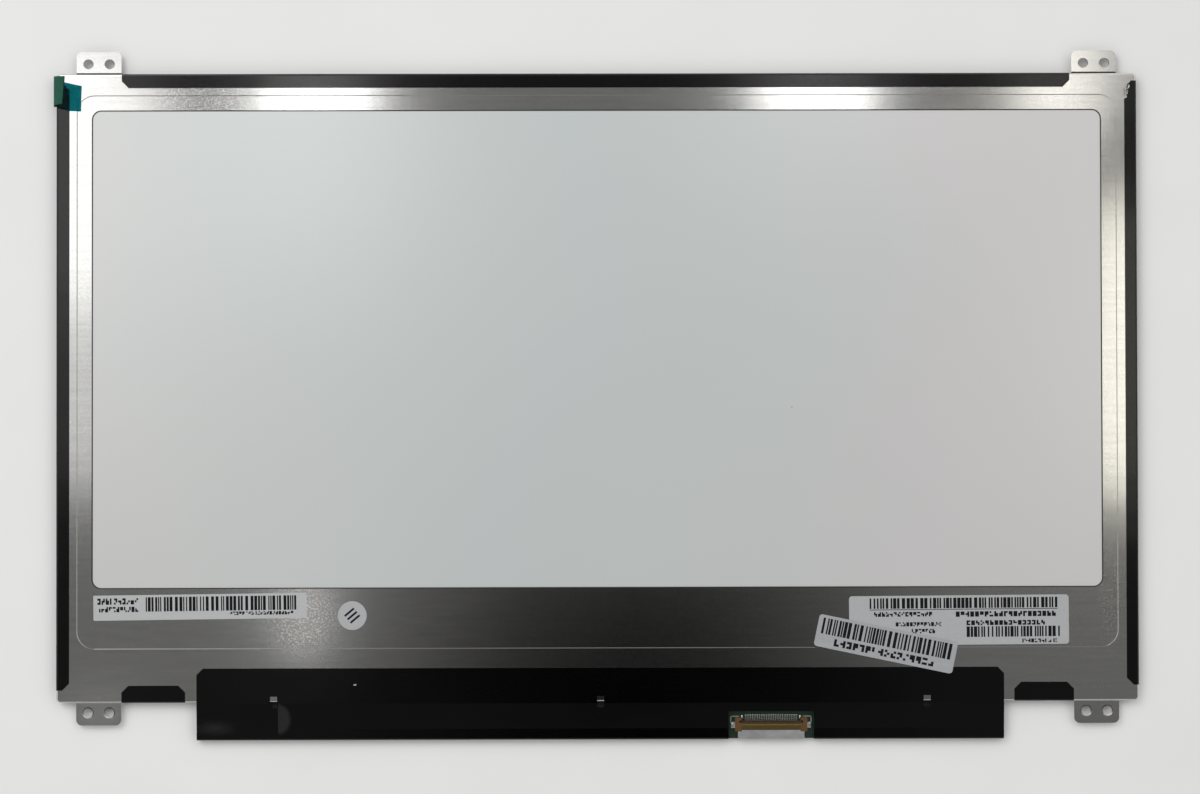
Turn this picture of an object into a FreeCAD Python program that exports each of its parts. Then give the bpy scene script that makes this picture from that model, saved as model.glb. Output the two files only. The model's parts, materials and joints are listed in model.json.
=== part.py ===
import FreeCAD, Part
import math
import os

# Notebook display module lying on its screen, with its steel back up, in millimetres.
# X runs along the long side, Y up the picture and Z from the screen to the back.
# The origin is the middle of the body's outline, on the plane that the module rests on.

# Body outline, measured over the edge tapes, and the dark border round the picture
body_w = 305.4
body_h = 177.5
picture_side_border = 5.95
picture_top_border = 5.4
picture_bottom_border = 7.0

# Layers, from the screen to the back
film_t = 0.06
front_polariser_t = 0.18
filter_glass_t = 0.35
array_glass_t = 0.35
rear_polariser_t = 0.15
rim_tape_t = 0.06
shelf_t = 0.28
prism_t = 0.13
diffuser_t = 0.10
light_guide_t = 0.55
reflector_t = 0.12
steel_t = 0.25
step_h = 0.20
tape_t = 0.08
label_t = 0.08

# Liquid crystal cell: gaps to the body's edges, the ledge for the source films, the polarisers
glass_side_gap = 1.0
glass_top_gap = 0.7
glass_bottom_gap = 0.8
ledge_w = 3.4
polariser_margin = 1.7
film_overlap = 0.15

# Steel chassis
corner_r = 1.2
bend_r = 0.25
wall_above_shelf = 0.1
window_side = 10.0
window_top = 10.3
window_bottom = 32.05
window_r = 2.7
step_side = 5.8
step_top = 6.1
step_bottom = 15.1
step_r = 5.0

# Fixing ears, folded out of the end walls
ear_w = 12.7
ear_from_side = 11.85
ear_reach = 6.4
ear_drop = 1.0
ear_corner_r = 1.6
ear_relief = 0.5
hole_d = 2.7
hole_pitch = 6.0
hole_from_edge = 2.85

# Plastic frame with its shelf, and the stack that lies in it
mould_gap = 0.1
mould_wall = 2.4
mould_bottom_wall = 1.5
opening_margin = 0.7
guide_gap = 0.2
sheet_gap = 0.3
sheet_tab_w = 8.0
sheet_tab_reach = 1.2
sheet_tab_from_middle = 96.0
rear_polariser_gap = 0.25
rim_tape_inset = 0.5

# Light bar
led_bay = 3.6
led_count = 36
led_end_gap = 7.9
led_w = 3.8
led_depth = 1.0
led_h = 0.5
led_gap = 0.1
led_flex_t = 0.12
tail_w = 9.0
tail_from_middle = 56.0
tail_clearance = 0.5
tail_pad = 2.0
tail_rise = 0.6

# Edge tapes
left_flap = 3.75
right_flap = 3.5
top_flap = 4.05
lip_w = 2.2
lip_r = 0.2
flap_chamfer = 1.95
left_tape_top_gap = 2.6
left_tape_bottom_gap = 3.55
right_tape_top_gap = 2.3
right_tape_bottom_gap = 4.5
# Torn inner edge of the right tape: distance down from its top end, and width of film that is missing
right_tear = ((1.4, 1.0), (1.8, 0.6), (2.2, 0.85), (2.8, 0.5), (3.2, 0.65), (3.9, 0.3), (4.3, 0.45),
              (5.0, 0.1), (5.5, 0.0))
tape_to_ear = 0.3
top_tape_to_right_ear = 0.8
bottom_left_tape_w = 17.9
bottom_left_flap = 4.9
bottom_right_tape_w = 16.8
bottom_right_flap = 5.4

# Driver board, below the body, and the tape that covers it
cover_to_left_tape = 3.2
cover_to_right_tape = 2.9
cover_flap = 9.65
cover_chamfer = 1.8
cover_edge_r = 0.5
cover_slope_start = 0.3
cover_slope_end = 7.5
cover_above_board = 1.27
cover_front_lip = 2.3
cover_wall_gap = 0.05
cover_window_w = 2.0
cover_window_above = 1.7
cover_window_below = 1.6
cover_window_pitch = 92.1
board_inset = 0.3
board_gap = 1.4
board_depth = 9.15
board_t = 0.5
board_corner_r = 0.6
tooling_hole_d = 1.5
tooling_hole_inset = 3.0

# Source films, from the glass ledge to the front of the board
source_count = 3
source_pitch = 84.0
source_film_w = 38.0
source_film_t = 0.05
source_bond = 1.6
source_chip_w = 22.0
source_chip_depth = 1.2
source_chip_t = 0.3

# Edge connector, with its mouth at the board's free edge
connector_from_right = 65.65
contact_count = 30
contact_pitch = 0.5
contact_w = 0.22
contact_t = 0.12
contact_tail = 1.45
contact_rise = 0.3
contact_from_mouth = 0.6
connector_h = 1.05
shell_w = 18.75
shell_depth = 2.45
shell_h = 0.95
shell_t = 0.12
tongue_w = 15.8
tongue_t = 0.2
tongue_from_mouth = 0.4
tongue_from_board = 0.33
housing_w = 20.4
housing_depth = 2.6
housing_end_w = 1.9
housing_end_reach = 0.9
housing_end_lip = 0.4
housing_pit_d = 0.7
housing_pit_depth = 0.4
housing_pit_from_end = 1.5
housing_pit_from_rear = 1.15
hold_down_foot = 1.1
hold_down_h = 0.7
hold_down_depth = 1.7
notch_margin = 1.85
notch_depth = 7.85

# Parts on the back of the board, placed from its left end, the light bar's tail, its middle or the housing
backlight_chip = (4.0, 4.0, 0.75)
backlight_chip_from_tail = 10.8
timing_chip = (7.0, 7.0, 0.85)
timing_chip_from_middle = 22.0
memory_chip = (3.0, 2.0, 0.6)
memory_chip_from_middle = 8.0
power_chip = (5.0, 5.0, 0.8)
power_chip_from_housing = 23.95
inductor = (4.0, 4.0, 1.0)
inductor_chamfer = 0.8
backlight_inductor_from_tail = 18.8
power_inductor_from_housing = 9.95
power_inductor_pitch = 6.0
capacitor = (1.6, 0.8, 0.8)
capacitor_pitch = 3.6
left_capacitor_count = 5
left_capacitors_from_left = 9.5
middle_capacitor_count = 6
middle_capacitors_from_middle = 48.0
right_capacitor_count = 9
right_capacitors_from_housing = 11.65
board_part_row = 4.6
capacitor_row = 1.6

# Paper labels and the round sticker, placed from the chassis window
label_left_w = 60.1
label_left_h = 7.05
label_left_inset = 0.55
label_left_drop = 1.5
label_left_turn = 0.65
label_left_r = 0.3
label_right_w = 62.0
label_right_inset = 9.8
label_right_drop = 2.3
label_right_foot = 0.75
label_right_turn = 0.4
label_r = 0.9
label_tilted_w = 39.8
label_tilted_h = 9.1
label_tilted_turn = -11.8
label_tilted_from_right_label = 20.7
label_tilted_drop = 15.9
label_ramp = 0.7
dot_d = 8.1
dot_from_label = 12.8
dot_drop = 7.6

# Pull tab of the screen film, folded round the left edge
tab_t = 0.06
tab_w = 8.4
tab_from_top = 1.75
tab_bond = 1.4
tab_bulge = 0.85
tab_crest = 0.5
tab_shoulder = 0.2
tab_crest_inset = 0.8
tab_landing = 2.4
tab_rear_reach = 7.25
tab_r = 0.6
tongue_inset = 0.4
tab_side_margin = 0.5

# Heights of the layers
z_polariser = film_t + front_polariser_t
z_filter = z_polariser + filter_glass_t
z_array = z_filter + array_glass_t
z_shelf = z_array + rim_tape_t
z_sheets = z_shelf + shelf_t
z_upper_prism = z_sheets + prism_t
z_lower_prism = z_upper_prism + prism_t
z_diffuser = z_lower_prism + diffuser_t
z_guide = z_diffuser + light_guide_t
z_reflector = z_guide + reflector_t
z_flange = z_reflector + steel_t
z_back = z_flange + step_h
z_under_back = z_back - steel_t
z_tape = z_back + tape_t
z_board = z_filter + board_t
z_wall = z_shelf + wall_above_shelf
z_ear = z_back - ear_drop
z_cover = z_board + cover_above_board

# Outlines, from the body inwards
x_body = body_w / 2
y_body = body_h / 2
x_steel = x_body - tape_t
y_steel = y_body - tape_t
outer_bend_r = bend_r + steel_t
x_mould = x_steel - steel_t - mould_gap
y_mould = y_steel - steel_t - mould_gap
mould_r = corner_r - steel_t - mould_gap
x_cavity = x_mould - mould_wall
y_cavity_top = y_mould - mould_wall
y_cavity_bottom = -y_mould + mould_bottom_wall
x_guide = x_cavity - guide_gap
y_guide_top = y_cavity_top - guide_gap
y_guide_bottom = y_cavity_bottom + led_bay
x_opening = x_body - picture_side_border + opening_margin
y_opening_top = y_body - picture_top_border + opening_margin
y_opening_bottom = -y_body + picture_bottom_border - opening_margin
x_glass = x_body - glass_side_gap
y_glass_top = y_body - glass_top_gap
y_array_bottom = -y_body + glass_bottom_gap
y_filter_bottom = y_array_bottom + ledge_w
x_polariser = x_glass - polariser_margin
y_polariser_top = y_glass_top - polariser_margin
y_polariser_bottom = y_filter_bottom + polariser_margin
x_window = x_body - window_side
y_window_top = y_body - window_top
y_window_bottom = -y_body + window_bottom
x_step = x_body - step_side
y_step_top = y_body - step_top
y_step_bottom = -y_body + step_bottom
x_ear = x_body - ear_from_side
ear_inner_edge = x_ear - ear_w / 2
bottom_left_tape_end = -ear_inner_edge + tape_to_ear + bottom_left_tape_w
bottom_right_tape_start = ear_inner_edge - tape_to_ear - bottom_right_tape_w
x_cover_left = bottom_left_tape_end + cover_to_left_tape
x_cover_right = bottom_right_tape_start - cover_to_right_tape
x_board = (x_cover_left + x_cover_right) / 2
x_board_left = x_cover_left + board_inset
x_board_right = x_cover_right - board_inset
y_board_top = -y_body - board_gap
y_board_bottom = y_board_top - board_depth
x_connector = x_cover_right - connector_from_right
x_housing_left = x_connector - housing_w / 2
x_housing_right = x_connector + housing_w / 2
x_tail_left = -tail_from_middle - tail_w / 2
y_housing_front = y_board_bottom + shell_depth
y_housing_back = y_housing_front + housing_depth
z_contact = z_board + tongue_from_board + tongue_t

V = FreeCAD.Vector
UP = V(0, 0, 1)
ORIGIN = V(0, 0, 0)
SECTION_ALONG_X = FreeCAD.Rotation(V(1, 1, 1), 120)
SECTION_ALONG_Y = FreeCAD.Rotation(V(1, 0, 0), 90)
CUT_PAST = 1.0


def outline(x0, y0, x1, y1, z, radius=0.0):
    """Closed wire of a rectangle at height z, with round corners where a radius is given."""
    if radius <= 0:
        corners = [V(x0, y0, z), V(x1, y0, z), V(x1, y1, z), V(x0, y1, z)]
        return Part.makePolygon(corners + corners[:1])
    centres = [(x0 + radius, y0 + radius), (x1 - radius, y0 + radius),
               (x1 - radius, y1 - radius), (x0 + radius, y1 - radius)]
    arcs = []
    for corner, (x, y) in enumerate(centres):
        start = 180 + 90 * corner
        arcs.append(Part.makeCircle(radius, V(x, y, z), UP, start, start + 90))
    edges = []
    for arc, following in zip(arcs, arcs[1:] + arcs[:1]):
        edges.append(arc)
        edges.append(Part.makeLine(arc.Vertexes[-1].Point, following.Vertexes[0].Point))
    return Part.Wire(edges)


def plate(x0, y0, x1, y1, z0, z1, radius=0.0):
    """Flat plate between two heights."""
    return Part.Face(outline(x0, y0, x1, y1, z0, radius)).extrude(V(0, 0, z1 - z0))


def block_at(size, x, y, z):
    """Block of (length, depth, height) with the middle of its foot at a point."""
    length, depth, height = size
    return plate(x - length / 2, y - depth / 2, x + length / 2, y + depth / 2, z, z + height)


def level_edges(solid, z):
    """Edges of a solid that lie wholly at one height."""
    return [edge for edge in solid.Edges if all(abs(p.Z - z) < 1e-6 for p in edge.Vertexes)]


def section_side(line, along, radii, offset, thickness):
    """One side of a folded sheet's section: its line shifted by offset, with round bends."""
    left = [V(-d.y, d.x, 0) for d in along]
    corner = line[0] + left[0] * offset
    edges = []
    for i, radius in enumerate(radii):
        before, after = along[i], along[i + 1]
        turn = before.x * after.y - before.y * after.x
        inside = (turn * thickness > 0) == (offset != 0)
        bend = radius if inside or radius == 0 else radius + abs(thickness)
        half = before.getAngle(after) / 2
        miter = (left[i] + left[i + 1]) * (offset / (1 + left[i].dot(left[i + 1])))
        apex = line[i + 1] + miter
        start = apex - before * (bend * math.tan(half))
        end = apex + after * (bend * math.tan(half))
        to_centre = (after - before).normalize()
        middle = apex + to_centre * (bend / math.cos(half) - bend)
        edges.append(Part.makeLine(corner, start))
        if bend > 0:
            edges.append(Part.Arc(start, middle, end).toShape())
        corner = end
    edges.append(Part.makeLine(corner, line[-1] + left[-1] * offset))
    return edges


def folded_strip(points, radii, thickness, turned, start, end):
    """Sheet folded along a line of section points and drawn from start to end.

    The sheet lies to the left of its line, or to the right where thickness is negative.
    Each radius is the inside of one bend, with a concentric outside, and 0 is a sharp fold.
    """
    line = [V(u, v, 0) for u, v in points]
    along = [(b - a).normalize() for a, b in zip(line, line[1:])]
    near = section_side(line, along, radii, 0, thickness)
    far = section_side(line, along, radii, thickness, thickness)
    caps = []
    for a, b in ((near[0].Vertexes[0], far[0].Vertexes[0]), (near[-1].Vertexes[-1], far[-1].Vertexes[-1])):
        caps.append(Part.makeLine(a.Point, b.Point))
    loop = Part.Wire(Part.__sortEdges__(near + far + caps))
    strip = Part.Face(loop).extrude(V(0, 0, end - start))
    place = V(start, 0, 0) if turned is SECTION_ALONG_X else V(0, end, 0)
    strip.Placement = FreeCAD.Placement(place, turned)
    return strip


def mirror_x(shape):
    """The same shape on the other long half."""
    return shape.mirror(ORIGIN, V(1, 0, 0))


def mirror_y(shape):
    """The same shape at the other end of the picture's height."""
    return shape.mirror(ORIGIN, V(0, 1, 0))


def corner_cut(x, y, dx, dy, z0, z1):
    """Three-sided prism that takes off a square corner at (x, y)."""
    corners = [V(x, y, z0), V(x + dx, y, z0), V(x, y + dy, z0), V(x, y, z0)]
    return Part.Face(Part.makePolygon(corners)).extrude(V(0, 0, z1 - z0))


def turned_about(shape, x, y, degrees):
    """Shape modelled round the origin, turned and moved to (x, y)."""
    shape.Placement = FreeCAD.Placement(V(x, y, 0), FreeCAD.Rotation(UP, degrees))
    return shape


def tray_block(inset, z0, z1):
    """Block with round corners, inset from the steel's outer face."""
    x, y = x_steel - inset, y_steel - inset
    return plate(-x, -y, x, y, z0, z1, corner_r - inset)


def recess(spread, z_floor):
    """Flat pocket with walls sloped at 45 degrees, whose floor lies at z_floor."""
    pocket = plate(-x_step - spread, y_step_bottom - spread, x_step + spread, y_step_top + spread,
                   z_floor, z_floor + step_h + CUT_PAST, step_r + spread)
    return pocket.makeChamfer(step_h, level_edges(pocket, z_floor))


def ear():
    """One fixing ear at the top right: it leaves the end wall through a fold and has two holes."""
    wall_line = [(y_steel, z_back - outer_bend_r), (y_steel, z_ear), (y_body + ear_reach, z_ear)]
    x0, x1 = x_ear - ear_w / 2, x_ear + ear_w / 2
    blank = folded_strip(wall_line, [bend_r], -steel_t, SECTION_ALONG_X, x0, x1)
    tip = [edge for edge in blank.Edges
           if all(abs(p.Y - y_body - ear_reach) < 1e-6 for p in edge.Vertexes)
           and abs(edge.Vertexes[0].Z - edge.Vertexes[-1].Z) > steel_t / 2]
    blank = blank.makeFillet(ear_corner_r, tip)
    for side in (-1, 1):
        foot = V(x_ear + side * hole_pitch / 2, y_body + hole_from_edge, z_ear - steel_t - CUT_PAST)
        blank = blank.cut(Part.makeCylinder(hole_d / 2, steel_t + 2 * CUT_PAST, foot))
    return blank


def ear_gap():
    """Room in the end wall for one ear, with a relief on each side of its fold."""
    half = ear_w / 2 + ear_relief
    return plate(x_ear - half, y_steel - steel_t - mould_gap, x_ear + half, y_steel + CUT_PAST,
                 z_wall - CUT_PAST, z_back - outer_bend_r)


def back_chassis():
    """Pressed steel tray: walls round the edge, a stepped flange, a window and four ears."""
    outside = tray_block(0, z_wall, z_back)
    outside = outside.makeFillet(outer_bend_r, level_edges(outside, z_back)).cut(recess(0, z_flange))
    inside = tray_block(steel_t, z_wall - CUT_PAST, z_under_back)
    inside = inside.makeChamfer(bend_r, level_edges(inside, z_under_back))
    slope_spread = steel_t * math.tan(math.radians(22.5))
    tray = outside.cut(inside.cut(recess(slope_spread, z_flange - steel_t)))
    tray = tray.cut(plate(-x_window, y_window_bottom, x_window, y_window_top,
                          z_wall, z_back + CUT_PAST, window_r))
    one_gap = ear_gap()
    one_ear = ear()
    gaps = [one_gap, mirror_x(one_gap), mirror_y(one_gap), mirror_x(mirror_y(one_gap))]
    ears = [one_ear, mirror_x(one_ear), mirror_y(one_ear), mirror_x(mirror_y(one_ear))]
    half_tail = tail_w / 2 + tail_clearance
    tail_door = plate(-tail_from_middle - half_tail, -y_steel - CUT_PAST,
                      -tail_from_middle + half_tail, -y_steel + steel_t + mould_gap,
                      z_wall - CUT_PAST, z_guide + led_flex_t + mould_gap)
    tray = tray.cut(Part.makeCompound(gaps + [tail_door]))
    return tray.fuse(ears).removeSplitter()


def sheet_tabs(clearance, z0, z1):
    """Two locating tabs on the top edge of the light sheets, or with a clearance their notches."""
    tabs = []
    for side in (-1, 1):
        middle = side * sheet_tab_from_middle
        half = sheet_tab_w / 2 + clearance
        tabs.append(plate(middle - half, y_cavity_top - mould_wall / 2, middle + half,
                          y_cavity_top + sheet_tab_reach + clearance, z0, z1))
    return tabs


def mould_frame():
    """Plastic frame: walls inside the steel, and a thin shelf that carries the glass."""
    block = plate(-x_mould, -y_mould, x_mould, y_mould, z_shelf, z_under_back, mould_r)
    block = block.makeChamfer(bend_r, level_edges(block, z_under_back))
    cavity = plate(-x_cavity, y_cavity_bottom, x_cavity, y_cavity_top, z_sheets, z_back)
    opening = plate(-x_opening, y_opening_bottom, x_opening, y_opening_top, z_shelf - CUT_PAST, z_back)
    half_tail = tail_w / 2 + tail_clearance
    tail_way = plate(-tail_from_middle - half_tail, -y_mould - CUT_PAST, -tail_from_middle + half_tail,
                     y_cavity_bottom + CUT_PAST, z_guide - mould_gap, z_back)
    return block.cut([cavity, opening, tail_way] + sheet_tabs(guide_gap, z_sheets, z_back))


def light_sheet(z0, z1):
    """One optical sheet with its locating tabs."""
    sheet = plate(-x_guide + sheet_gap, y_guide_bottom + sheet_gap, x_guide - sheet_gap,
                  y_guide_top - sheet_gap, z0, z1)
    return sheet.fuse(sheet_tabs(0, z0, z1)).removeSplitter()


def light_guide():
    """Clear plate that spreads the light of the bar below it."""
    return plate(-x_guide, y_guide_bottom, x_guide, y_guide_top, z_diffuser, z_guide)


def reflector_sheet():
    """White sheet behind the light guide, held by the chassis flange."""
    return plate(-x_guide, y_guide_bottom, x_guide, y_guide_top, z_guide, z_reflector)


def led_flex():
    """Flexible circuit of the light bar, with its tail folded down to the board."""
    strip = plate(-x_guide, y_cavity_bottom + guide_gap, x_guide, y_guide_bottom - led_gap,
                  z_guide, z_guide + led_flex_t)
    pad_top = y_board_top - tail_rise - tail_pad / 2
    tail_line = [(y_cavity_bottom + led_bay / 2, z_guide), (-y_steel - tail_rise, z_guide),
                 (pad_top, z_board), (pad_top - tail_pad, z_board)]
    tail = folded_strip(tail_line, [bend_r, bend_r], -led_flex_t, SECTION_ALONG_X,
                        -tail_from_middle - tail_w / 2, -tail_from_middle + tail_w / 2)
    return strip.fuse(tail).removeSplitter()


def led_packages():
    """Row of side-looking lamps that face the lower edge of the light guide."""
    middle = y_guide_bottom - led_gap - led_depth / 2
    first = -x_guide + led_end_gap
    pitch = -2 * first / (led_count - 1)
    size = (led_w, led_depth, led_h)
    return [block_at(size, first + i * pitch, middle, z_guide - led_h) for i in range(led_count)]


def led_adhesive():
    """Adhesive strip that takes the lamps' heat from the flexible circuit to the steel."""
    return plate(-x_guide, y_cavity_bottom + guide_gap, x_guide, y_guide_bottom - led_gap,
                 z_guide + led_flex_t, z_under_back)


def rim_tape():
    """Thin frame of foam tape between the glass and the shelf."""
    ring = plate(-x_glass + rim_tape_inset, y_array_bottom + rim_tape_inset, x_glass - rim_tape_inset,
                 y_glass_top - rim_tape_inset, z_array, z_shelf)
    return ring.cut(plate(-x_opening, y_opening_bottom, x_opening, y_opening_top, z_array, z_shelf))


def cell_layers():
    """The two glasses and their polarisers."""
    gap = rear_polariser_gap
    return {
        "front_polariser": plate(-x_polariser, y_polariser_bottom, x_polariser, y_polariser_top,
                                 film_t, z_polariser),
        "filter_glass": plate(-x_glass, y_filter_bottom, x_glass, y_glass_top, z_polariser, z_filter),
        "array_glass": plate(-x_glass, y_array_bottom, x_glass, y_glass_top, z_filter, z_array),
        "rear_polariser": plate(-x_opening + gap, y_opening_bottom + gap, x_opening - gap,
                                y_opening_top - gap, z_array, z_array + rear_polariser_t),
    }


def protective_film():
    """Film over the screen, with a corner tongue that carries the pull tab."""
    over = film_overlap
    film = plate(-x_polariser - over, y_polariser_bottom - over, x_polariser + over,
                 y_polariser_top + over, 0, film_t, over)
    tab_top = y_body - tab_from_top - tab_side_margin
    tab_bottom = y_body - tab_from_top - tab_w + tab_side_margin
    tongue_top = min(tab_top, y_polariser_top)
    tongue = plate(-x_body + tongue_inset, tab_bottom, -x_polariser, tongue_top, 0, film_t)
    return film.fuse(tongue).removeSplitter()


def pull_tab():
    """Band of film from the screen's tongue round the left edge to the back, sprung a little open."""
    z_front = film_t + tab_t
    out = x_body + tab_bulge
    line = [(out - tab_bulge - tab_bond, z_front), (out, z_front), (out, z_tape + tab_shoulder),
            (x_body - tab_crest_inset, z_tape + tab_crest), (x_body - tab_landing, z_tape),
            (x_body - tab_rear_reach, z_tape)]
    top = y_body - tab_from_top
    bends = [tab_r] * (len(line) - 2)
    return mirror_x(folded_strip(line, bends, -tab_t, SECTION_ALONG_Y, top - tab_w, top))


def side_tape(flap, y0, y1):
    """Tape folded over the right edge: a flap on the steel, the side, and a lip on the glass."""
    line = [(x_body - flap, z_back), (x_steel, z_back), (x_steel, z_polariser),
            (x_body - lip_w, z_polariser)]
    tape = folded_strip(line, [outer_bend_r, lip_r], tape_t, SECTION_ALONG_Y, y0, y1)
    for end, back in ((y0, 1), (y1, -1)):
        tape = tape.cut(corner_cut(x_body - flap, end, flap_chamfer, back * flap_chamfer, z_back, z_tape))
    return tape


def end_tape(flap, x0, x1, z_lip):
    """Tape folded over the top edge, with its lip on a glass face at z_lip."""
    line = [(y_body - flap, z_back), (y_steel, z_back), (y_steel, z_lip), (y_body - lip_w, z_lip)]
    tape = folded_strip(line, [outer_bend_r, lip_r], tape_t, SECTION_ALONG_X, x0, x1)
    for end, back in ((x0, 1), (x1, -1)):
        tape = tape.cut(corner_cut(end, y_body - flap, back * flap_chamfer, flap_chamfer, z_back, z_tape))
    return tape


def torn_film():
    """Film that is missing along the inner edge of the right tape, near its top end."""
    edge = x_body - right_flap
    top = y_body - right_tape_top_gap
    points = [V(edge - CUT_PAST, top - right_tear[0][0], z_back)]
    for down, width in right_tear:
        points.append(V(edge + width, top - down, z_back))
    points.append(V(edge - CUT_PAST, top - right_tear[-1][0], z_back))
    return Part.Face(Part.makePolygon(points + points[:1])).extrude(V(0, 0, tape_t))


def edge_tapes():
    """The five tapes that hold the glass to the chassis."""
    left_end = -ear_inner_edge + tape_to_ear
    right_end = ear_inner_edge - tape_to_ear
    left = side_tape(left_flap, -y_body + left_tape_bottom_gap, y_body - left_tape_top_gap)
    right = side_tape(right_flap, -y_body + right_tape_bottom_gap, y_body - right_tape_top_gap)
    top = end_tape(top_flap, left_end, ear_inner_edge - top_tape_to_right_ear, z_polariser)
    bottom_left = end_tape(bottom_left_flap, left_end, bottom_left_tape_end, z_filter)
    bottom_right = end_tape(bottom_right_flap, bottom_right_tape_start, right_end, z_filter)
    return {
        "left_edge_tape": mirror_x(left),
        "right_edge_tape": right.cut(torn_film()),
        "top_edge_tape": top,
        "bottom_left_tape": mirror_y(bottom_left),
        "bottom_right_tape": mirror_y(bottom_right),
    }


def source_middles():
    """Places of the source films along the glass ledge."""
    first = -source_pitch * (source_count - 1) / 2
    return [first + i * source_pitch for i in range(source_count)]


def source_films():
    """Flexible circuits, bonded to the ledge of the array glass and to the front of the board."""
    films = []
    for middle in source_middles():
        films.append(plate(middle - source_film_w / 2, y_board_top - source_bond, middle + source_film_w / 2,
                           y_array_bottom + source_bond, z_filter - source_film_t, z_filter))
    return films


def source_chips():
    """Driver chips on the source films, in the gap between glass and board."""
    size = (source_chip_w, source_chip_depth, source_chip_t)
    row = (y_array_bottom + y_board_top) / 2
    return [block_at(size, middle, row, z_filter) for middle in source_middles()]


def driver_board():
    """Narrow circuit board below the body, with two tooling holes."""
    board = plate(x_board_left, y_board_bottom, x_board_right, y_board_top,
                  z_filter, z_board, board_corner_r)
    for x in (x_board_left + tooling_hole_inset, x_board_right - tooling_hole_inset):
        foot = V(x, y_board_top - tooling_hole_inset, z_filter - CUT_PAST)
        board = board.cut(Part.makeCylinder(tooling_hole_d / 2, board_t + 2 * CUT_PAST, foot))
    return board


def board_parts():
    """Chips, inductors and capacitors on the back of the board."""
    row = y_board_bottom + board_part_row
    chips = {
        "timing_controller": (timing_chip, x_board - timing_chip_from_middle),
        "power_controller": (power_chip, x_housing_left - power_chip_from_housing),
        "backlight_driver": (backlight_chip, x_tail_left - backlight_chip_from_tail),
        "flash_memory": (memory_chip, x_board - memory_chip_from_middle),
    }
    parts = {name: block_at(size, x, row, z_board) for name, (size, x) in chips.items()}
    near = x_housing_left - power_inductor_from_housing
    coils = []
    for x in (x_tail_left - backlight_inductor_from_tail, near - power_inductor_pitch, near):
        core = block_at(inductor, x, row, z_board)
        upright = [edge for edge in core.Edges if abs(edge.Length - inductor[2]) < 1e-6]
        coils.append(core.makeChamfer(inductor_chamfer, upright))
    parts["power_inductors"] = Part.makeCompound(coils)
    runs = {
        x_board_left + left_capacitors_from_left: left_capacitor_count,
        x_board - middle_capacitors_from_middle: middle_capacitor_count,
        x_housing_right + right_capacitors_from_housing: right_capacitor_count,
    }
    chain = []
    for start, count in runs.items():
        for i in range(count):
            x = start + i * capacitor_pitch
            chain.append(block_at(capacitor, x, y_board_bottom + capacitor_row, z_board))
    parts["board_capacitors"] = Part.makeCompound(chain)
    return parts


def board_cover_tape():
    """Tape from the steel over the board and round its free edge, with windows and a cut-out."""
    wall = y_board_bottom - cover_wall_gap
    line = [(-y_body + cover_flap, z_back), (-y_body - cover_slope_start, z_back),
            (-y_body - cover_slope_end, z_cover), (wall, z_cover), (wall, z_filter),
            (wall + cover_front_lip, z_filter)]
    bends = [bend_r, bend_r, cover_edge_r, cover_wall_gap]
    tape = folded_strip(line, bends, -tape_t, SECTION_ALONG_X, x_cover_left, x_cover_right)
    cuts = []
    for x, inward in ((x_cover_left, 1), (x_cover_right, -1)):
        cuts.append(corner_cut(x, -y_body + cover_flap, inward * cover_chamfer, -cover_chamfer,
                               z_back, z_tape))
    for i in (-1, 0, 1):
        x = x_board + i * cover_window_pitch
        cuts.append(plate(x - cover_window_w / 2, -y_body - cover_window_below, x + cover_window_w / 2,
                          -y_body + cover_window_above, z_board, z_tape))
    half = housing_w / 2 + notch_margin
    cuts.append(plate(x_connector - half, wall - CUT_PAST, x_connector + half, y_board_bottom + notch_depth,
                      z_filter - CUT_PAST, z_tape))
    return tape.cut(cuts)


def connector_contacts():
    """Row of formed contacts: a tail on the board, a rise, and a blade on the housing's tongue."""
    line = [(y_housing_back + contact_tail, z_board), (y_housing_back + contact_rise, z_board),
            (y_housing_back, z_contact), (y_board_bottom + contact_from_mouth, z_contact)]
    first = x_connector - contact_pitch * (contact_count - 1) / 2 - contact_w / 2
    contacts = []
    for i in range(contact_count):
        x = first + i * contact_pitch
        contacts.append(folded_strip(line, [0, 0], -contact_t, SECTION_ALONG_X, x, x + contact_w))
    return contacts


def connector_housing():
    """Moulded body with two end blocks that lip over the shell, and a tongue slotted for the contacts."""
    z_top = z_board + connector_h
    x0, x1 = x_housing_left, x_housing_right
    body = plate(x0, y_housing_front, x1, y_housing_back, z_board, z_top)
    ends = []
    for a, b in ((x0, x0 + housing_end_w), (x1 - housing_end_w, x1)):
        ends.append(plate(a, y_housing_front, b, y_housing_back + housing_end_reach, z_board, z_top))
        y_lip = y_housing_front - housing_end_lip
        ends.append(plate(a, y_lip, b, y_housing_front, z_board + shell_h, z_top))
    z_tongue = z_board + tongue_from_board
    ends.append(plate(x_connector - tongue_w / 2, y_board_bottom + tongue_from_mouth,
                      x_connector + tongue_w / 2, y_housing_back - shell_t, z_tongue, z_tongue + tongue_t))
    pits = []
    y_pit = y_housing_back + housing_end_reach - housing_pit_from_rear
    for x in (x0 + housing_pit_from_end, x1 - housing_pit_from_end):
        pits.append(Part.makeCylinder(housing_pit_d / 2, housing_pit_depth + CUT_PAST,
                                      V(x, y_pit, z_top - housing_pit_depth)))
    return body.fuse(ends).removeSplitter().cut(connector_contacts() + pits)


def connector_shell():
    """Bent metal sleeve round the mouth, open to the front and closed behind by the housing."""
    half = shell_w / 2
    z_top = z_board + shell_h
    sleeve = plate(x_connector - half, y_board_bottom, x_connector + half, y_housing_front, z_board, z_top)
    half -= shell_t
    mouth = plate(x_connector - half, y_board_bottom - CUT_PAST, x_connector + half,
                  y_housing_front + CUT_PAST, z_board + shell_t, z_top - shell_t)
    return sleeve.cut(mouth)


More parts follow.
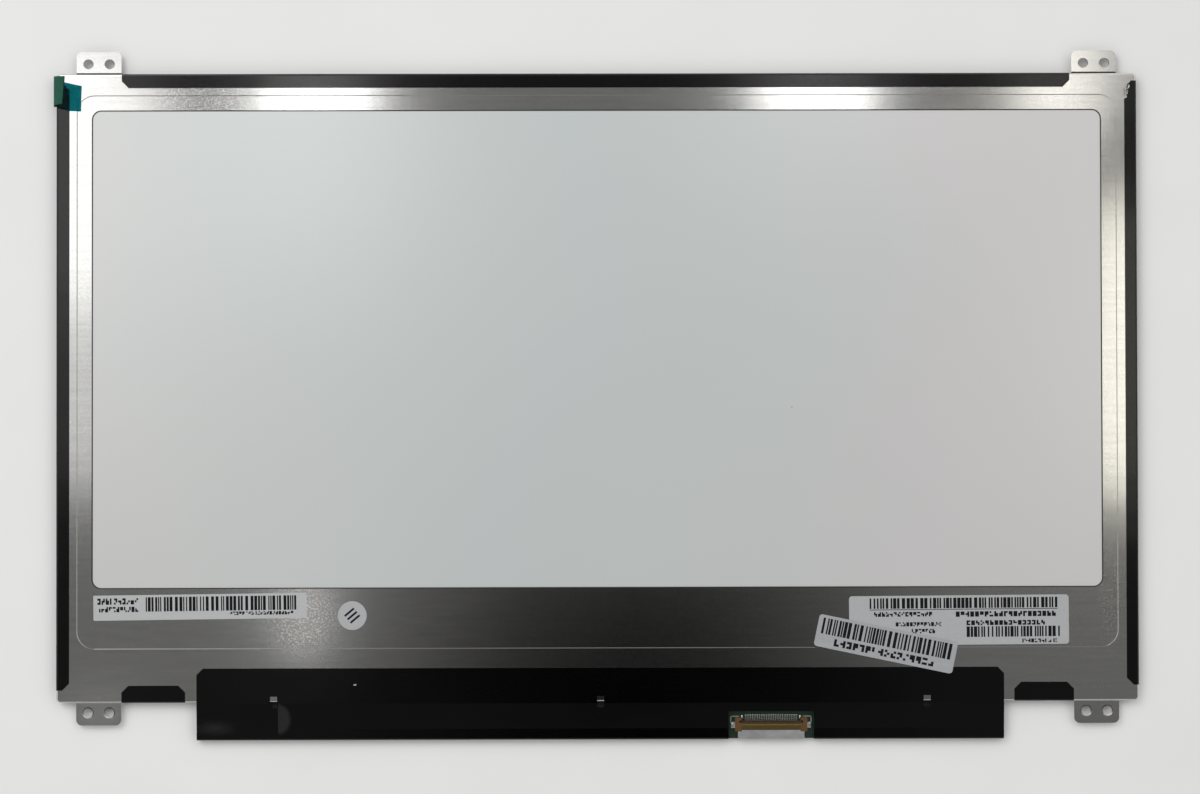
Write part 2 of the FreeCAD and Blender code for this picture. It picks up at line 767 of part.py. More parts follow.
def connector_hold_downs():
    """Two bent tabs that fix the ends of the housing to the board."""
    tabs = []
    for side in (-1, 1):
        foot = x_connector + side * (housing_w / 2 + hold_down_foot)
        root = x_connector + side * housing_w / 2
        line = [(foot, z_board), (root, z_board), (root, z_board + hold_down_h)]
        y0 = y_housing_front + housing_depth / 2 - hold_down_depth / 2
        y1 = y0 + hold_down_depth
        tabs.append(folded_strip(line, [contact_t], -side * contact_t, SECTION_ALONG_Y, y0, y1))
    return tabs


def label(width, height, radius):
    """Flat label on the flange, round the origin, with round corners."""
    return plate(-width / 2, -height / 2, width / 2, height / 2, z_flange, z_flange + label_t, radius)


def label_left():
    """Long narrow label under the left end of the window."""
    x = -x_window + label_left_inset + label_left_w / 2
    y = y_window_bottom - label_left_drop - label_left_h / 2
    return turned_about(label(label_left_w, label_left_h, label_left_r), x, y, label_left_turn)


def label_right_middle():
    """Middle and height of the right label, which fills the flange between window and step."""
    height = y_window_bottom - label_right_drop - y_step_bottom - label_right_foot
    x = x_window - label_right_inset - label_right_w / 2
    return x, y_window_bottom - label_right_drop - height / 2, height


def label_right():
    """Wide label on the right end of the flange."""
    x, y, height = label_right_middle()
    return turned_about(label(label_right_w, height, label_r), x, y, label_right_turn)


def label_tilted():
    """Label stuck on askew: it drapes from the right label over the step and onto the cover tape."""
    x = label_right_middle()[0] - label_tilted_from_right_label
    y = y_window_bottom - label_tilted_drop
    reach = label_tilted_w
    y_tape_edge = -y_body + cover_flap
    line = [(y + reach, z_flange + label_t), (y_step_bottom + label_ramp, z_flange + label_t),
            (y_step_bottom, z_back), (y_tape_edge + label_ramp, z_back),
            (y_tape_edge, z_tape), (y - reach, z_tape)]
    layer = folded_strip(line, [0] * (len(line) - 2), -label_t, SECTION_ALONG_X, x - reach, x + reach)
    blank = plate(-label_tilted_w / 2, -label_tilted_h / 2, label_tilted_w / 2, label_tilted_h / 2,
                  z_flange, z_tape + CUT_PAST, label_r)
    return layer.common(turned_about(blank, x, y, label_tilted_turn))


def inspection_dot():
    """Round paper sticker beside the left label."""
    x = -x_window + label_left_inset + label_left_w + dot_from_label
    return Part.makeCylinder(dot_d / 2, label_t, V(x, y_window_bottom - dot_drop, z_flange))


def all_parts():
    """Every sub-part by its name."""
    parts = {
        "protective_film": protective_film(),
        "pull_tab": pull_tab(),
        "rim_tape": rim_tape(),
        "mould_frame": mould_frame(),
        "upper_prism_sheet": light_sheet(z_sheets, z_upper_prism),
        "lower_prism_sheet": light_sheet(z_upper_prism, z_lower_prism),
        "diffuser_sheet": light_sheet(z_lower_prism, z_diffuser),
        "light_guide": light_guide(),
        "reflector_sheet": reflector_sheet(),
        "led_flex": led_flex(),
        "led_packages": Part.makeCompound(led_packages()),
        "led_adhesive": led_adhesive(),
        "back_chassis": back_chassis(),
        "source_films": Part.makeCompound(source_films()),
        "source_chips": Part.makeCompound(source_chips()),
        "driver_board": driver_board(),
        "board_cover_tape": board_cover_tape(),
        "connector_housing": connector_housing(),
        "connector_contacts": Part.makeCompound(connector_contacts()),
        "connector_shell": connector_shell(),
        "connector_hold_downs": Part.makeCompound(connector_hold_downs()),
        "label_left": label_left(),
        "label_right": label_right(),
        "label_tilted": label_tilted(),
        "inspection_dot": inspection_dot(),
    }
    parts.update(cell_layers())
    parts.update(edge_tapes())
    parts.update(board_parts())
    return parts


os.makedirs("parts", exist_ok=True)
for name, shape in all_parts().items():
    shape.exportStep(f"parts/{name}.step")
    print(f"{name}: {len(shape.Solids)} solid(s), {shape.Volume:.2f} mm3")
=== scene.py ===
# %% [markdown]
# # A notebook display module, seen from behind
# The module lies on its screen, with its steel back up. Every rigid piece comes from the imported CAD
# frame, in metres and already in place. This lesson adds what a solid can't show: finishes, print,
# film, solder and wear. The frame is loaded first, so that later sizes can be read from it.

# %% Load the frame and keep its box
import json
import math

import bpy
import numpy as np
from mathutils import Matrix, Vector


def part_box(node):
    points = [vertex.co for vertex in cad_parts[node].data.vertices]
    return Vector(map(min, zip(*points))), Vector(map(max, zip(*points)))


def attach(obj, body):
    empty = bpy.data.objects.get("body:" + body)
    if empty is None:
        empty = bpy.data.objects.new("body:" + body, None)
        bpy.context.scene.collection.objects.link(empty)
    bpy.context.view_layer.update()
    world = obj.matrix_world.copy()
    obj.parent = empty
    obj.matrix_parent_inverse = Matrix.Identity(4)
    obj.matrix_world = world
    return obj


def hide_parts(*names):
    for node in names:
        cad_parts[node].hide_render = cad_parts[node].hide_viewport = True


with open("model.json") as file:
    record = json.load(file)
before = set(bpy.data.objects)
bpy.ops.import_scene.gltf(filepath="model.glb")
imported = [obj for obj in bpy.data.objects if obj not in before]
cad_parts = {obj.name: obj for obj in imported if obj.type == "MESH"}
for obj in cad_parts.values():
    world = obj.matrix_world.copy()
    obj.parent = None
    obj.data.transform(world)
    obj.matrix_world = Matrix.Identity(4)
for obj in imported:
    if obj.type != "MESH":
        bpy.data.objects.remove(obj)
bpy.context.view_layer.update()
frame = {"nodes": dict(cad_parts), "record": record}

nodes = frame["nodes"]
MM = 0.001

# %% [markdown]
# ## Camera
# The photograph was taken from almost straight over the panel. A camera's place could be found by eye,
# but here it was solved from the four corners of the body, so a small tilt and roll remain. A 60 mm lens
# keeps the sides of the panel nearly parallel. One corner is put through the camera by hand at the end,
# and the pixel where it falls is printed.

# %% Camera over the panel
PHOTO_WIDTH, PHOTO_HEIGHT = 1200, 794
CAMERA_PLACE, CAMERA_TURN = (-0.00111, -0.00913, 0.56725), (0.641, -0.185, -0.122)
BODY_CORNER = Vector((-0.1527, 0.08875, 0.00276))
camera_data = bpy.data.cameras.new("photo_camera")
camera_data.lens = 60.0
camera_data.sensor_width = 36.0
camera_data.sensor_fit = "HORIZONTAL"
camera_data.clip_start = 0.01
camera = bpy.data.objects.new("photo_camera", camera_data)
camera.location = CAMERA_PLACE
camera.rotation_euler = [math.radians(angle) for angle in CAMERA_TURN]
bpy.context.scene.collection.objects.link(camera)
bpy.context.scene.camera = camera
focal_pixels = camera_data.lens / camera_data.sensor_width * PHOTO_WIDTH
seen = camera.matrix_basis.inverted() @ BODY_CORNER
corner = (PHOTO_WIDTH / 2 - focal_pixels * seen.x / seen.z,
          PHOTO_HEIGHT / 2 + focal_pixels * seen.y / seen.z)
print("the top left corner of the body falls at pixel", [round(c, 1) for c in corner])

# %% [markdown]
# ## Mesh helpers
# Thin things such as paper, film and ink are closed shells: a grid of points for the upper face, the
# same grid for the lower face, and a wall round the rim. One function lists the faces of such a shell
# and another puts numpy arrays into a mesh, so that each piece below only has to say where its points
# are. Blender's Solidify could add the lower face too, but plain arrays keep the contact exact.

# %% Faces of a closed shell, and arrays into a mesh


def shell_faces(rows, columns):
    """Quads of a closed shell whose points are an upper grid, then a lower one.

    Each upper quad joins four neighbours in the grid, the lower quads are the same turned over, and
    the rim is walked once round to close the wall.
    """
    i = np.arange(rows * columns).reshape(rows, columns)
    upper = np.stack([i[:-1, :-1], i[:-1, 1:], i[1:, 1:], i[1:, :-1]], -1).reshape(-1, 4)
    lower = upper[:, ::-1] + rows * columns
    rim = np.concatenate([i[0, :-1], i[:-1, -1], i[-1, :0:-1], i[:0:-1, 0]])
    after = np.roll(rim, -1)
    wall = np.stack([rim + rows * columns, after + rows * columns, after, rim], -1)
    return np.concatenate([upper, lower, wall])


def add_piece(name, shells, finish, smooth=False):
    """Mesh piece from shells, an array of (copies, 2, rows, columns, 3) points in millimetres."""
    shells = np.asarray(shells, float)
    copies, _, rows, columns, _ = shells.shape
    points_each = 2 * rows * columns
    faces = shell_faces(rows, columns)[None] + np.arange(copies)[:, None, None] * points_each
    mesh = bpy.data.meshes.new(name)
    mesh.from_pydata((shells.reshape(-1, 3) * MM).tolist(), [], faces.reshape(-1, 4).tolist())
    mesh.polygons.foreach_set("use_smooth", np.full(len(mesh.polygons), smooth))
    mesh.materials.append(finish)
    piece = bpy.data.objects.new(name, mesh)
    bpy.context.scene.collection.objects.link(piece)
    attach(piece, "root")
    print(f"{name}: {copies} shell(s), {len(mesh.polygons)} faces")
    return piece


print("a shell of two by two points closes with", len(shell_faces(2, 2)), "faces")

# %% [markdown]
# ## Material helpers
# Each finish is a Principled shader. What is the same all over sits on the shader's own sockets. What
# varies comes from textures on Object coordinates, which are metres here, so a scale of 1000 gives
# features of about a millimetre. Small helpers move coordinates, make textures, combine values, mix
# colours and build ramps, ranges and bumps, which keeps each finish to a few readable lines. Most of a
# noise lies between 0.3 and 0.7, so that range is named too.

# %% Node helpers
ORIGIN, UNSCALED, FLAT = (0.0, 0.0, 0.0), (1.0, 1.0, 1.0), (1.0, 1.0, 0.0)
FADE_IN = (0.0, 1.0)
NOISE_BODY = (0.3, 0.7)


def new_finish(name, constants):
    """Principled material with its constant sockets set: returns the material, its tree and shader."""
    material = bpy.data.materials.new(name)
    material.use_nodes = True
    shader = material.node_tree.nodes["Principled BSDF"]
    for socket, value in constants.items():
        shader.inputs[socket].default_value = value
    return material, material.node_tree, shader


def vector_step(tree, operation, vector, constant=None):
    """One vector operation on a socket, with a constant where the operation takes two vectors."""
    node = tree.nodes.new("ShaderNodeVectorMath")
    node.operation = operation
    tree.links.new(vector, node.inputs[0])
    if constant:
        node.inputs[1].default_value = constant
    return node.outputs["Value" if operation in ("LENGTH", "DOT_PRODUCT") else "Vector"]


def place_on(tree, middle, scale):
    """Object coordinates counted from a middle and stretched by scale along each axis."""
    coords = tree.nodes.new("ShaderNodeTexCoord").outputs["Object"]
    return vector_step(tree, "MULTIPLY", vector_step(tree, "SUBTRACT", coords, middle), scale)


def texture(tree, scale, stretch=UNSCALED, detail=2.0):
    """Noise on Object coordinates, squeezed along each axis by stretch."""
    pattern = tree.nodes.new("ShaderNodeTexNoise")
    pattern.inputs["Scale"].default_value = scale
    pattern.inputs["Detail"].default_value = detail
    tree.links.new(place_on(tree, ORIGIN, stretch), pattern.inputs["Vector"])
    return pattern.outputs[0]


def combine(tree, operation, first, second):
    """One operation on two value sockets."""
    node = tree.nodes.new("ShaderNodeMath")
    node.operation = operation
    tree.links.new(first, node.inputs[0])
    tree.links.new(second, node.inputs[1])
    return node.outputs["Value"]


def mixed(tree, share, first, second):
    """Colour that goes from a first socket to a second, constant colour as share goes from 0 to 1.

    A Mix node has sockets for every kind of data. Inputs 6 and 7 are its colours, output 2 their mix.
    """
    node = tree.nodes.new("ShaderNodeMix")
    node.data_type = "RGBA"
    tree.links.new(share, node.inputs["Factor"])
    tree.links.new(first, node.inputs[6])
    node.inputs[7].default_value = (*second, 1.0)
    return node.outputs[2]


def ramp(tree, factor, stops):
    """Colour that runs through stops, a list of (place, colour), as factor goes from 0 to 1."""
    node = tree.nodes.new("ShaderNodeValToRGB")
    elements = node.color_ramp.elements
    while len(elements) < len(stops):
        elements.new(0.5)
    for element, (place, colour) in zip(elements, stops):
        element.position = place
        element.color = (*colour, 1.0)
    tree.links.new(factor, node.inputs["Fac"])
    return node.outputs["Color"]


def span(tree, value, source, target):
    """Value moved from the source range to the target range, and held at its ends."""
    node = tree.nodes.new("ShaderNodeMapRange")
    for socket, number in zip(("From Min", "From Max", "To Min", "To Max"), (*source, *target)):
        node.inputs[socket].default_value = number
    tree.links.new(value, node.inputs["Value"])
    return node.outputs["Result"]


def ellipse(tree, middle, radii, edge, target):
    """Value that goes through target as the distance to a middle, in radii, goes through edge."""
    place = place_on(tree, middle, (1.0 / radii[0], 1.0 / radii[1], 0.0))
    return span(tree, vector_step(tree, "LENGTH", place), edge, target)


def bump(tree, height, distance, under=None):
    """Normal of a relief whose height of 0 to 1 stands for distance in metres, over another normal."""
    node = tree.nodes.new("ShaderNodeBump")
    node.inputs["Strength"].default_value = 1.0
    node.inputs["Distance"].default_value = distance
    tree.links.new(height, node.inputs["Height"])
    if under:
        tree.links.new(under, node.inputs["Normal"])
    return node.outputs["Normal"]


print("most of each noise lies in", NOISE_BODY)

# %% [markdown]
# ## Pressed steel
# The chassis is thin bright sheet. It is nearly a mirror, with a fine rolled grain along its length,
# frosty speckle, and the slow waves that pressing leaves, which break reflections into soft bands. Each
# of these is a noise of its own scale. An image of real steel could do the same, but noise has no seams
# and no edge. The finest noise also drives the roughness.

# %% Steel and its noises
steel, tree, shader = new_finish("satin_steel", {"Metallic": 1.0})
speckle = texture(tree, 5200.0, detail=3.0)
frost = texture(tree, 2200.0, detail=2.0)
flecks = texture(tree, 1900.0, detail=1.0)
grain = texture(tree, 900.0, stretch=(0.10, 1.0, 1.0), detail=3.0)
waves = texture(tree, 14.0, stretch=(1.0, 0.8, 1.0), detail=1.0)
tree.links.new(span(tree, speckle, (0.35, 0.7), (0.10, 0.145)), shader.inputs["Roughness"])
print("steel starts with", len(tree.nodes), "nodes")

# %% [markdown]
# Painted shade darkens corners. A dark line of painted shade lies in the fold at the root of each upper
# ear, and painted shade lines the edge of each ear's holes, apart from the hole's lower side. The ears
# are mirror images, so absolute values of the coordinates lay all four ears, and both holes of an ear,
# over one another. The fold is then a narrow box, and a hole's edge is a ring. On the lower ears the
# punch has rolled the edge over, and the painted shade round the holes is wider there.

# %% Painted shade in the folds and holes of the ears
EAR_X, EAR_HALF, FOLD_Y, FOLD_Z = 0.14085, 0.0064, 0.0892, 0.0022
BLUR, BLUR_Y = 0.0001, 0.00008
HOLE_FROM_EAR, HOLE_R, ROLL_W = (0.003, 0.0916, 0.0), 0.00135, 0.00024
# Along Y from a hole, the painted shade on its rim fades out between these two distances towards the
# lower side.
RIM_UNSHADED, RIM_SHADED = 0.0009, 0.0002
ALONG_Y = (0.0, 1.0, 0.0)
here = place_on(tree, ORIGIN, UNSCALED)
upper = span(tree, vector_step(tree, "DOT_PRODUCT", here, ALONG_Y), (-0.001, 0.001), FADE_IN)
away = vector_step(tree, "ABSOLUTE", here)
away = vector_step(tree, "ABSOLUTE", vector_step(tree, "SUBTRACT", away, (EAR_X, 0.0, 0.0)))
axes = tree.nodes.new("ShaderNodeSeparateXYZ")
tree.links.new(away, axes.inputs["Vector"])
# Painted shade: a dark line in the fold at the root of each upper ear.
fold_shade = combine(tree, "MULTIPLY", span(tree, axes.outputs["X"], (EAR_HALF, EAR_HALF - BLUR), FADE_IN),
                  span(tree, axes.outputs["Y"], (FOLD_Y, FOLD_Y - BLUR_Y), FADE_IN))
fold_shade = combine(tree, "MULTIPLY", fold_shade,
                  span(tree, axes.outputs["Z"], (FOLD_Z, FOLD_Z - BLUR), FADE_IN))
fold_shade = combine(tree, "MULTIPLY", fold_shade, upper)
# Painted shade round each hole: dark on the upper side of its rim, none on the lower side, wider on the
# lower ears.
from_hole = vector_step(tree, "SUBTRACT", away, HOLE_FROM_EAR)
from_hole = vector_step(tree, "MULTIPLY", from_hole, FLAT)
rolled = span(tree, vector_step(tree, "LENGTH", from_hole), (HOLE_R, HOLE_R + ROLL_W), FADE_IN)
below = combine(tree, "MULTIPLY", vector_step(tree, "DOT_PRODUCT", from_hole, ALONG_Y),
                span(tree, upper, FADE_IN, (1.0, -1.0)))
inner = combine(tree, "ADD", rolled, span(tree, upper, FADE_IN, (0.0, 0.5)))
rim_shade = combine(tree, "MULTIPLY", span(tree, below, (RIM_UNSHADED, RIM_SHADED), (0.0, 0.95)),
                span(tree, inner, (1.0, 0.85), FADE_IN))
print("painted shade in folds and round holes of", HOLE_R / MM, "mm radius")

# %% [markdown]
# The steel's colour goes on in layers: two close greys along the grain, paler spots of painted glint
# where the frost faces the light, a few patches of brighter painted glints where bright bands fall on the
# steel, and the painted shade. Each patch is a soft ellipse that lets the fleck noise through.

# %% Steel colour
STEEL_DARK, STEEL_LIGHT = (0.61, 0.605, 0.59), (0.66, 0.655, 0.64)
# Pale tones of the painted glints: frost spots, and brighter flecks in patches.
FROST_GLINT, PAINTED_GLINT = (0.88, 0.875, 0.86), (0.95, 0.935, 0.88)
# Colour of the painted shade in the folds and round the holes.
PAINTED_SHADE_DARK = (0.02, 0.019, 0.018)
# Patches of painted glints, where bright bands fall on the steel.
GLINT_PATCHES = [((-0.0839, -0.0653, 0.0), (0.0135, 0.0115), 1.0),
                 ((-0.112, 0.081, 0.0), (0.016, 0.008), 0.6),
                 ((0.1445, -0.057, 0.0), (0.004, 0.020), 0.6)]
sheet = ramp(tree, grain, [(0.3, STEEL_DARK), (0.7, STEEL_LIGHT)])
# Painted glints: pale frost spots over the whole steel.
sheet = mixed(tree, span(tree, frost, (0.52, 0.72), (0.0, 0.22)), sheet, FROST_GLINT)
# Painted glints: brighter flecks, let through only inside the patches.
bright = span(tree, flecks, (0.52, 0.60), (0.0, 0.9))
for middle, radii, most in GLINT_PATCHES:
    patch = ellipse(tree, middle, radii, (1.0, 0.5), (0.0, most))
    sheet = mixed(tree, combine(tree, "MULTIPLY", patch, bright), sheet, PAINTED_GLINT)
# The painted shade goes on last: first round the holes, then in the folds.
sheet = mixed(tree, rim_shade, sheet, PAINTED_SHADE_DARK)
tree.links.new(mixed(tree, fold_shade, sheet, PAINTED_SHADE_DARK), shader.inputs["Base Color"])
print("steel colour with", len(GLINT_PATCHES), "painted glint patches")

# %% [markdown]
# The relief is a chain of three bumps: the waves of pressing, the speckle, and the rolled edge that
# slopes down in a narrow ring about each hole of the lower ears. The ring is too small for geometry to
# be worth its faces.

# %% Steel relief
WAVE_DEPTH, SPECKLE_DEPTH, ROLL_DEPTH = 0.0002, 0.0000015, 0.00021
pressed = bump(tree, waves, WAVE_DEPTH)
grained = bump(tree, speckle, SPECKLE_DEPTH, pressed)
rolled_low = combine(tree, "MAXIMUM", rolled, upper)
tree.links.new(bump(tree, rolled_low, ROLL_DEPTH, grained), shader.inputs["Normal"])
print("steel finish with", len(tree.nodes), "nodes")

# %% [markdown]
# ## Reflector sheet
# The white sheet in the window is film with a soft sheen, so its shader is a matt white with a small
# metallic share. Its tint drifts along the sheet, from neutral through cool to faintly pink, in soft
# clouds: a noise is added to the place along X, and a ramp turns the sum into colour. The sheet lies
# under the edge of the chassis, and the narrow gap there holds no light, so a dark line runs round the
# window. That line is the distance to a rectangle with round corners: the part of each coordinate that
# lies past the straight sides, taken together as a length, less the corner's radius.

# %% Reflector finish with its dark rim
WINDOW_HALF = (0.1427, 0.067575, 0.0)
WINDOW_MIDDLE = (0.0, 0.010875, 0.0)
WINDOW_R = 0.0027
SHEET_TINTS = [(0.0, (0.652, 0.655, 0.65)), (0.2, (0.628, 0.655, 0.655)),
               (0.45, (0.612, 0.655, 0.655)), (0.65, (0.625, 0.655, 0.655)),
               (0.85, (0.662, 0.648, 0.656)), (1.0, (0.656, 0.65, 0.652))]
RIM_DARK, RIM_STARTS, RIM_FULL = (0.03, 0.03, 0.028), 0.0004, 0.0002
reflector, tree, shader = new_finish("white_reflector", {"Roughness": 0.25, "Metallic": 0.2})
on_sheet = place_on(tree, WINDOW_MIDDLE, FLAT)
past = vector_step(tree, "ABSOLUTE", on_sheet)
past = vector_step(tree, "SUBTRACT", past, [max(half - WINDOW_R, 0.0) for half in WINDOW_HALF])
past_sides = vector_step(tree, "LENGTH", vector_step(tree, "MAXIMUM", past, ORIGIN))
rim = span(tree, past_sides, (WINDOW_R - RIM_STARTS, WINDOW_R - RIM_FULL), FADE_IN)
along = vector_step(tree, "DOT_PRODUCT", on_sheet, (0.5 / WINDOW_HALF[0], 0.0, 0.0))
clouds = span(tree, texture(tree, 9.0, detail=3.0), NOISE_BODY, (0.38, 0.62))
drift = combine(tree, "ADD", along, clouds)
tree.links.new(mixed(tree, rim, ramp(tree, drift, SHEET_TINTS), RIM_DARK), shader.inputs["Base Color"])
SHEET_DEPTH = 0.000004
tree.links.new(bump(tree, texture(tree, 600.0), SHEET_DEPTH), shader.inputs["Normal"])
print("reflector finish, window corners of", WINDOW_R / MM, "mm")

# %% [markdown]
# ## Black tape
# The tapes are glossy black film. They are never quite flat: long soft swells catch the light along
# the edges, and a fine texture keeps the highlights from being mirror sharp. Two places on the long
# cover tape have been rubbed dull: a half-round one with a sharp left side, and a faint smear at the
# left end. Each is an ellipse, inside which the roughness goes up.

# %% Tape finish
RUBBED_MIDDLE, RUBBED_RADII = (-0.0902, -0.0934, 0.0), (0.0042, 0.0050)
SMEAR_MIDDLE, SMEAR_RADII = (-0.1080, -0.0958, 0.0), (0.0085, 0.0030)
TAPE_DARK, TAPE_LIGHT = (0.0003, 0.0003, 0.0004), (0.0008, 0.0008, 0.0009)
SWELL_DEPTH, SKIN_DEPTH = 0.00012, 0.0000012
black_tape, tree, shader = new_finish("black_tape_film", {"IOR": 1.45})
swells = texture(tree, 55.0, stretch=(0.6, 1.0, 1.0), detail=1.5)
skin = texture(tree, 1800.0, detail=3.0)
rubbed_axes = tree.nodes.new("ShaderNodeSeparateXYZ")
tree.links.new(place_on(tree, RUBBED_MIDDLE, FLAT), rubbed_axes.inputs["Vector"])
dull = combine(tree, "MULTIPLY", ellipse(tree, RUBBED_MIDDLE, RUBBED_RADII, (1.0, 0.6), (0.0, 0.55)),
               span(tree, rubbed_axes.outputs["X"], (-0.0001, 0.0002), FADE_IN))
dull = combine(tree, "ADD", dull, ellipse(tree, SMEAR_MIDDLE, SMEAR_RADII, (1.0, 0.0), (0.0, 0.36)))
tree.links.new(ramp(tree, swells, [(0.3, TAPE_DARK), (0.7, TAPE_LIGHT)]), shader.inputs["Base Color"])
gloss = combine(tree, "ADD", span(tree, skin, NOISE_BODY, (0.10, 0.17)), dull)
tree.links.new(gloss, shader.inputs["Roughness"])
swollen = bump(tree, swells, SWELL_DEPTH)
tree.links.new(bump(tree, skin, SKIN_DEPTH, swollen), shader.inputs["Normal"])
print("tape finish with", len(tree.nodes), "nodes")

# %% [markdown]
# ## Film of the pull tab
# The tab is clear film dyed green. What lies under it shows through: teal over bright steel, nearly
# black over tape. A transmitting shader with a tinted base does that by itself. A low index of
# refraction keeps the film's own shine faint.

# %% Tab film finish
tab_film, tree, shader = new_finish("green_tab_film", {"IOR": 1.12, "Transmission Weight": 1.0})
FILM_DARK, FILM_LIGHT = (0.0015, 0.29, 0.32), (0.003, 0.35, 0.375)
haze = texture(tree, 300.0, detail=3.0)
tree.links.new(ramp(tree, haze, [(0.3, FILM_DARK), (0.7, FILM_LIGHT)]), shader.inputs["Base Color"])
tree.links.new(span(tree, haze, NOISE_BODY, (0.05, 0.12)), shader.inputs["Roughness"])
print("film finish with", len(tree.nodes), "nodes")

# %% [markdown]
# ## The plainer finishes
# Paper, plastic, ceramic and plating differ in colour, gloss and the size of their texture, but not in
# kind. One function covers them: two close tones mixed by a noise, a roughness that follows the same
# noise, and a fine bump. Each line of the list says tones, roughness range, texture size in
# millimetres, bump depth in millimetres, and what else the shader needs.

# %% Tones, gloss and texture of each plain finish


def mottled(name, dark, light, rough, size, depth, constants=None):
    """Finish of two tones mixed by a noise of one size, which also moves roughness and surface."""
    material, tree, shader = new_finish(name, constants or {})
    mottle = texture(tree, 1.0 / (size * MM), detail=3.0)
    tree.links.new(ramp(tree, mottle, [(0.32, dark), (0.68, light)]), shader.inputs["Base Color"])
    tree.links.new(span(tree, mottle, NOISE_BODY, rough), shader.inputs["Roughness"])
    tree.links.new(bump(tree, mottle, depth * MM), shader.inputs["Normal"])
    return material


METAL = {"Metallic": 1.0}
CLEAR = {"Transmission Weight": 0.9, "IOR": 1.49}
finishes = {
    "steel": steel,
    "reflector": reflector,
    "black_tape": black_tape,
    "tab_film": tab_film,
    "paper_label": mottled(
        "label_paper", (0.39, 0.395, 0.405), (0.42, 0.425, 0.435), (0.38, 0.5), 0.5, 0.002),
    "clear_film": mottled(
        "screen_film", (0.80, 0.84, 0.88), (0.86, 0.88, 0.90), (0.1, 0.2), 3.0, 0.002, CLEAR),
    "polariser": mottled(
        "dark_polariser", (0.012, 0.012, 0.016), (0.02, 0.02, 0.024), (0.3, 0.4), 0.3, 0.001),
    "cell_glass": mottled(
        "cell_glass", (0.03, 0.035, 0.035), (0.05, 0.055, 0.055), (0.05, 0.12), 4.0, 0.001),
    "foam_tape": mottled(
        "black_foam", (0.015, 0.015, 0.015), (0.04, 0.04, 0.04), (0.8, 0.95), 0.4, 0.02),
    "mould_plastic": mottled(
        "white_moulding", (0.70, 0.70, 0.68), (0.78, 0.78, 0.77), (0.4, 0.5), 0.8, 0.004),
    "optical_sheet": mottled(
        "frosted_sheet", (0.78, 0.79, 0.80), (0.85, 0.86, 0.87), (0.45, 0.6), 0.2, 0.002),
    "guide_acrylic": mottled(
        "light_guide", (0.80, 0.84, 0.85), (0.87, 0.89, 0.90), (0.05, 0.15), 0.6, 0.002),
    "flex_circuit": mottled(
        "amber_flex", (0.07, 0.035, 0.012), (0.10, 0.05, 0.018), (0.3, 0.45), 1.2, 0.004),
    "led_body": mottled(
        "lamp_body", (0.72, 0.66, 0.30), (0.80, 0.78, 0.62), (0.4, 0.5), 1.5, 0.004),
    "adhesive": mottled(
        "grey_adhesive", (0.45, 0.45, 0.44), (0.56, 0.56, 0.55), (0.6, 0.75), 0.8, 0.01),
    "chip_black": mottled(
        "chip_moulding", (0.015, 0.015, 0.017), (0.03, 0.03, 0.033), (0.5, 0.65), 0.15, 0.004),
    "ferrite": mottled(
        "grey_ferrite", (0.05, 0.05, 0.055), (0.10, 0.10, 0.11), (0.55, 0.7), 0.2, 0.006),
    "capacitor_ceramic": mottled(
        "tan_ceramic", (0.30, 0.20, 0.12), (0.42, 0.30, 0.20), (0.3, 0.45), 0.4, 0.003),
    "tinned_metal": mottled(
        "tin_plate", (0.55, 0.56, 0.56), (0.61, 0.62, 0.63), (0.40, 0.46), 2.5, 0.002, METAL),
    "contact_metal": mottled(
        "plated_strip", (0.56, 0.54, 0.49), (0.68, 0.66, 0.61), (0.24, 0.36), 0.3, 0.002, METAL),
}
print(len(finishes), "finishes so far")

# %% [markdown]
# ## Circuit board
# The board is green solder mask over copper, so faint paler tracks run under the green. A wave texture
# draws them, and the same wave raises them a little. A thin clear coat gives the mask its shine.

# %% Board finish
MASK_DARK, MASK_LIGHT, TRACK_DEPTH = (0.005, 0.018, 0.010), (0.009, 0.033, 0.018), 0.000012
board, tree, shader = new_finish("green_solder_mask", {"Coat Weight": 0.3, "Coat Roughness": 0.2})
copper = tree.nodes.new("ShaderNodeTexWave")
copper.bands_direction = "X"
copper.inputs["Scale"].default_value = 420.0
copper.inputs["Distortion"].default_value = 1.5
copper.inputs["Detail"].default_value = 2.0
tree.links.new(tree.nodes.new("ShaderNodeTexCoord").outputs["Object"], copper.inputs["Vector"])
tracks = copper.outputs["Fac"]
tree.links.new(ramp(tree, tracks, [(0.4, MASK_DARK), (0.8, MASK_LIGHT)]), shader.inputs["Base Color"])
tree.links.new(span(tree, texture(tree, 900.0), NOISE_BODY, (0.3, 0.45)), shader.inputs["Roughness"])
tree.links.new(bump(tree, tracks, TRACK_DEPTH), shader.inputs["Normal"])
finishes["board_green"] = board
print("board finish with", len(tree.nodes), "nodes")

# %% [markdown]
# ## Connector body
# The connector's body is amber plastic, moulded in steps across its depth: a brown rear edge, which is
# painted shadow of the dark gap behind it between the ends, a pale ridge and an amber front, between two
# paler ends with a pit in each, darkened by painted shade. Its coordinates are counted from the middle of
# its front: a ramp along Y draws the steps, the distance along X sets the ends apart, and the distance to
# a point paints shade into the pits.

# %% Connector finish
housing_low, housing_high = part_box("connector_housing")
housing_x = (housing_low.x + housing_high.x) / 2
